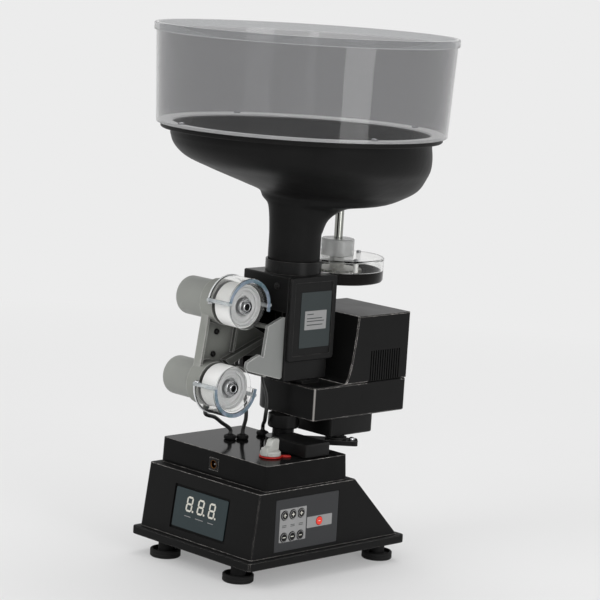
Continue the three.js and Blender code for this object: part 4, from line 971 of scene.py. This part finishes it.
# %% Case, cover and cap
stir_place = under("agitator_shaft")
case = closed([
    (4.8, 273.7), (8.4, 273.7), (9, 274.3), (9, 276.4), (9.6, 277), (45.3, 277), (47.3, 277.9),
    (48.5, 280), (48.5, 289.3), (46, 289.3), (46, 279), (7.4, 279), (7.4, 284.2), (4.8, 284.2)])
turned("gear_tray", case, "case_acrylic", "head", stir_place, "gear_case_smoke", "gear_case", 128)
cover_high, cap_high = 302.1, 319.5
cover = closed([
    (46, 289.6), (48.5, 289.6), (48.5, 301.4), (47.8, cover_high), (8.2, cover_high), (8.2, 300.1),
    (45.4, 300.1), (46, 299.5)])
turned("gear_lid", cover, "clear_acrylic", "head", stir_place, "clear_plastic", "gear_cover", 128)
cap = closed([
    (14.5, 302.4), (17, 302.4), (17, 318.7), (16.2, cap_high), (5.1, cap_high), (4.8, 319.2),
    (4.8, 317.5), (13.9, 317.5), (14.5, 316.9)])
turned("bearing_cap_shell", cap, "frosted_acrylic", "head", stir_place, "clear_plastic",
       "bearing_cap")
print("the cap's top is at", cap_high, "mm")

# %% Posts and rod
post = [(0, 289.8), (2.6, 289.8), (2.6, 300), (0, 300)]
for k, degrees in enumerate((-18, 102, 222)):
    centre = stir_place @ Matrix.Translation(polar(41.5, radians(degrees)))
    turned(f"lid_post_{k + 1}", post, "white_plastic", "head", centre, "clear_plastic", steps=40)
    screw(f"lid_screw_{k + 1}", centre @ at(0, 0, cover_high), 2.6, 1.4, "steel", "head")
rod_low, rod_high = low("agitator_shaft").z, high("agitator_shaft").z
rod = [(0, rod_low), (3.9, rod_low), (4.5, rod_low + 0.6), (4.5, rod_high - 0.8),
       (3.7, rod_high), (0, rod_high)]
turned("stir_rod", rod, "rod_chrome", "agitator", stir_place, "screw_chrome", "agitator_shaft")
print("rod:", round(rod_high - rod_low), "mm long")

# %% [markdown]
# ## Wheel unit
# Everything here turns on the tilt axis. A motor, its wheel and the guard share one axis across
# the robot, so they are turned in a place whose Z runs along it. Both wheels are alike, and one
# loop makes them.

# %% Motors, tyres and hubs
sideways = Matrix(((0, 0, 1), (1, 0, 0), (0, 1, 0))).to_4x4()
wheel_places = {name: Matrix.Translation(centre) @ Matrix.Rotation(-exit_angle, 4, "X") @ sideways
                for name, centre in wheel_axes.items()}
motor_end, motor_radius, end_round = -72.3, 19.5, 5
bend = [(motor_radius - end_round * (1 - sin(t)), motor_end + end_round * (1 - cos(t)))
        for t in (pi / 2 * k / 8 for k in range(9))]
motor_profile = [
    (0, motor_end + 1), (2.6, motor_end + 1), (3.2, motor_end), *bend, (motor_radius, -34.7),
    (19.2, -34.4), (19.2, -34), (motor_radius, -33.7), (motor_radius, -31.3), (3, -31.3), (3, -38.6),
    (0, -38.6)]
tyre_profile = closed([
    (16.2, -10), (20.5, -10), (21.35, -9.65), (21.7, -8.8), (21.7, 8.8), (21.4, 9.6), (20.9, 10),
    (20.7, 10), (20.7, 8.2), (16.2, 8.2)])
dish_profile = [
    (0, -10), (15.4, -10), (15.9, -9.5), (15.9, 8.3), (20.4, 8.3), (20.6, 8.6), (20.6, 9.5),
    (20.2, 9.9), (19.4, 9.9), (18.6, 8.6), (17.2, 7.6), (14.2, 6.6), (12, 6.4), (11.2, 6.8),
    (10.8, 7.4), (10.2, 7.4), (9.8, 7), (9.8, 3.5), (0, 3.5)]
boss_profile = [
    (0, 3.55), (8.2, 3.55), (8.2, 11.2), (7.8, 11.8), (7.2, 11.8), (6.9, 11.4), (6.9, 7.5),
    (4.5, 7.5), (4.5, 13.7), (4.1, 14.2), (3.6, 14.2), (3.3, 13.8), (3.3, 8), (0, 8)]
# A black disc at the foot of the bore is painted shade, so that the hole looks deep.
bore_shade_profile = [(0, 8.05), (3.2, 8.05), (3.2, 8.6), (0, 8.6)]
disc_profile = closed([(5.4, 13.4), (22.1, 13.4), (22.5, 13.8), (22.5, 14.4), (22.1, 14.8),
                       (5.4, 14.8)])
spindle_profile = [(0, -37.8), (2.2, -37.8), (2.5, -37.5), (2.5, -10.1), (0, -10.1)]
for name, place in wheel_places.items():
    wheel = f"wheel_{name}"
    turned(f"motor_{name}_cover", motor_profile, "motor_paint", "wheel_unit", place, "motor_grey",
           f"motor_{name}")
    turned(f"tyre_{name}", tyre_profile, "tyre_foam", wheel, place, "tyre_white",
           f"wheel_tyre_{name}", 128)
    turned(f"hub_{name}_dish", dish_profile, "hub_plastic", wheel, place, "hub_chrome",
           f"wheel_hub_{name}", round_by=0.3)
    turned(f"hub_{name}_boss", boss_profile, "chrome", wheel, place, "hub_chrome", round_by=0.25)
    # The bore's painted shade.
    turned(f"hub_{name}_bore", bore_shade_profile, "foot_rubber", wheel, place, "hub_chrome", steps=32)
    turned(f"wheel_{name}_disc", disc_profile, "clear_acrylic", wheel, place, "clear_plastic",
           steps=128)
    turned(f"hub_{name}_spindle", spindle_profile, "steel", wheel, place, "hub_chrome", steps=48)
print("wheels:", round(wheels_apart.length, 1), "mm apart")

# %% [markdown]
# A guard is half a ring of clear plastic, with a lip on the side away from the motor, a seat on
# the motor's side and a bar at each end. It is turned through half a circle, with its ends closed.
# A small screw stands at its front end, and the bar at its rear end leans.


# %% Guards
def half_ring(profile, steps=64):
    """A closed profile turned through half a circle, with flat ends."""
    points, faces = turned_mesh(closed(profile), steps, pi)
    starts = [r * (steps + 1) for r in range(len(profile))]
    return points, [*faces, starts, [start + steps for start in starts][::-1]]


guard_parts = {
    "shell": ("clear_acrylic", [
        (17.3, -13.2), (27.7, -13.2), (28.5, -12.4), (28.5, 16.1), (27.6, 17), (24.5, 17),
        (23.8, 16.3), (23.8, 15.7), (24.4, 15), (25.9, 15), (26.5, 14.4), (26.5, -10.6),
        (25.9, -11.2), (17.6, -11.2), (17, -11.8), (17, -12.7)]),
    "edge": ("edge_blue", [(24.3, 17.05), (28.2, 17.05), (28.2, 17.35), (24.6, 17.35)]),
    # The back bead is a painted highlight: a pale rim where light catches the guard's rear edge.
    "back": ("edge_clear", [(27.6, -13.4), (28.6, -13.4), (29.1, -12.9), (29.1, -11.9),
                          (28.6, -11.4)]),
}
guard_turns, rear_lean = {"upper": -4, "lower": 184}, 15
for name, place in wheel_places.items():
    guard_place = place @ spun(guard_turns[name])
    for part, (finish, profile) in guard_parts.items():
        build(f"guard_{name}_{part}", *half_ring(profile), finish, "wheel_unit", guard_place,
              "clear_plastic", f"guard_{name}" if part == "shell" else None)
    for side, end in ((-1, "front"), (1, "rear")):
        leans = (side > 0) == (name == "upper")
        post = guard_place @ spun(side * rear_lean if leans else 0) @ at(side * 27.15, -0.9, -13.2)
        sheet(f"guard_{name}_bar_{end}", [rounded(6.7, 4, 1.6)], 0, 30.2, "bar_acrylic",
              "wheel_unit", post, "clear_plastic", edge=0.9)
        if not leans:
            lug = guard_place @ at(side * 29.4, -3.2, -8.2) @ Matrix.Rotation(pi / 2, 4, "X")
            screw(f"guard_{name}_screw", lug, 2.3, 1.6, "chrome", "wheel_unit")
print("guards:", len(wheel_places), "of", len(guard_parts), "parts")

# %% Bolts of the frame
for k, level in enumerate((9.9, -12.5)):
    place = unit @ facing_place((-28, -76, level), (0, 1, 0))
    screw(f"frame_bolt_{k + 1}", place, 3, 2.4, "satin_black", "wheel_unit", slot=None,
          recess=hex_recess)
print("tilt axis:", tilt_axis)

# %% [markdown]
# ## Stage
# The floor and the studio round it are pale. Near the robot the floor is mostly plain and takes
# its shadow. Further out it fades into an even glow that only the camera, gloss and clear plastic
# see, so that it lights nothing. The world looks as pale to them, and gives a weaker even light.

# %% Floor and studio
pale, light_level = grey(236), 0.5
ground = Finish("floor_finish", Roughness=0.9, Specular_IOR_Level=0.1)
ground.set(Base_Color=ground.mix(ground.grain(400), pale, grey(240)))
reach = ground.vector("LENGTH", ground.spot(), output="Value")
fade = ((reach - 0.3) * 0.8).clamp()
glow = ground.node("Emission", {}, {"Color": pale})
lit = Mask(ground, ground.shader.outputs[0])
surface = ground.node("MixShader", {}, {0: ground.seen() * (fade * 0.7 + 0.3), 1: lit, 2: glow})
ground.put(ground.tree.nodes["Material Output"], "Surface", surface)
half = 30000
corners = [(-half, -half, 0), (half, -half, 0), (half, half, 0), (-half, half, 0)]
build("floor", corners, [[0, 1, 2, 3]], "floor_finish", None, Matrix())

world = bpy.data.worlds.new("studio")
scene.world = world
world.use_nodes = True
studio = Program(world.node_tree)
background = world.node_tree.nodes["Background"]
studio.put(background, "Color", (1, 1, 1, 1))
studio.put(background, "Strength", studio.seen() * (pale[0] - light_level) + light_level)
print("floor and studio: a grey of", round(pale[0], 2))

# %% [markdown]
# Four soft lamps shape the robot. One stands at the right on the floor, so that it draws upright
# bands on what is round and glossy, one hangs at the left, and one above and behind draws the
# bright top faces. A narrow one in front draws a line along the upright edges that face it.

# %% Lamps
lamps = {  # azimuth and elevation in degrees, distance, width and height in metres, and watts
    "right_lamp": (-6, 9, 2.1, 0.85, 1.1, 13),
    "left_lamp": (-100, 35, 2.4, 1.2, 1.2, 13),
    "top_lamp": (120, 70, 2.2, 1.4, 1.4, 20),
    "front_lamp": (-50, 18, 2.2, 0.3, 1.0, 4),
}
for name, (azimuth, elevation, distance, width, height, power) in lamps.items():
    light = bpy.data.lights.new(name, "AREA")
    light.shape, light.size, light.size_y, light.energy = "RECTANGLE", width, height, power
    source = bpy.data.objects.new(name, light)
    scene.collection.objects.link(source)
    source.visible_camera = False
    away = polar(cos(radians(elevation)), radians(azimuth), sin(radians(elevation)))
    source.matrix_world = (Matrix.Translation(look_at + away * distance)
                           @ away.to_track_quat("Z", "Y").to_matrix().to_4x4())
scene.view_settings.view_transform = "Standard"
print("lamps:", len(lamps))
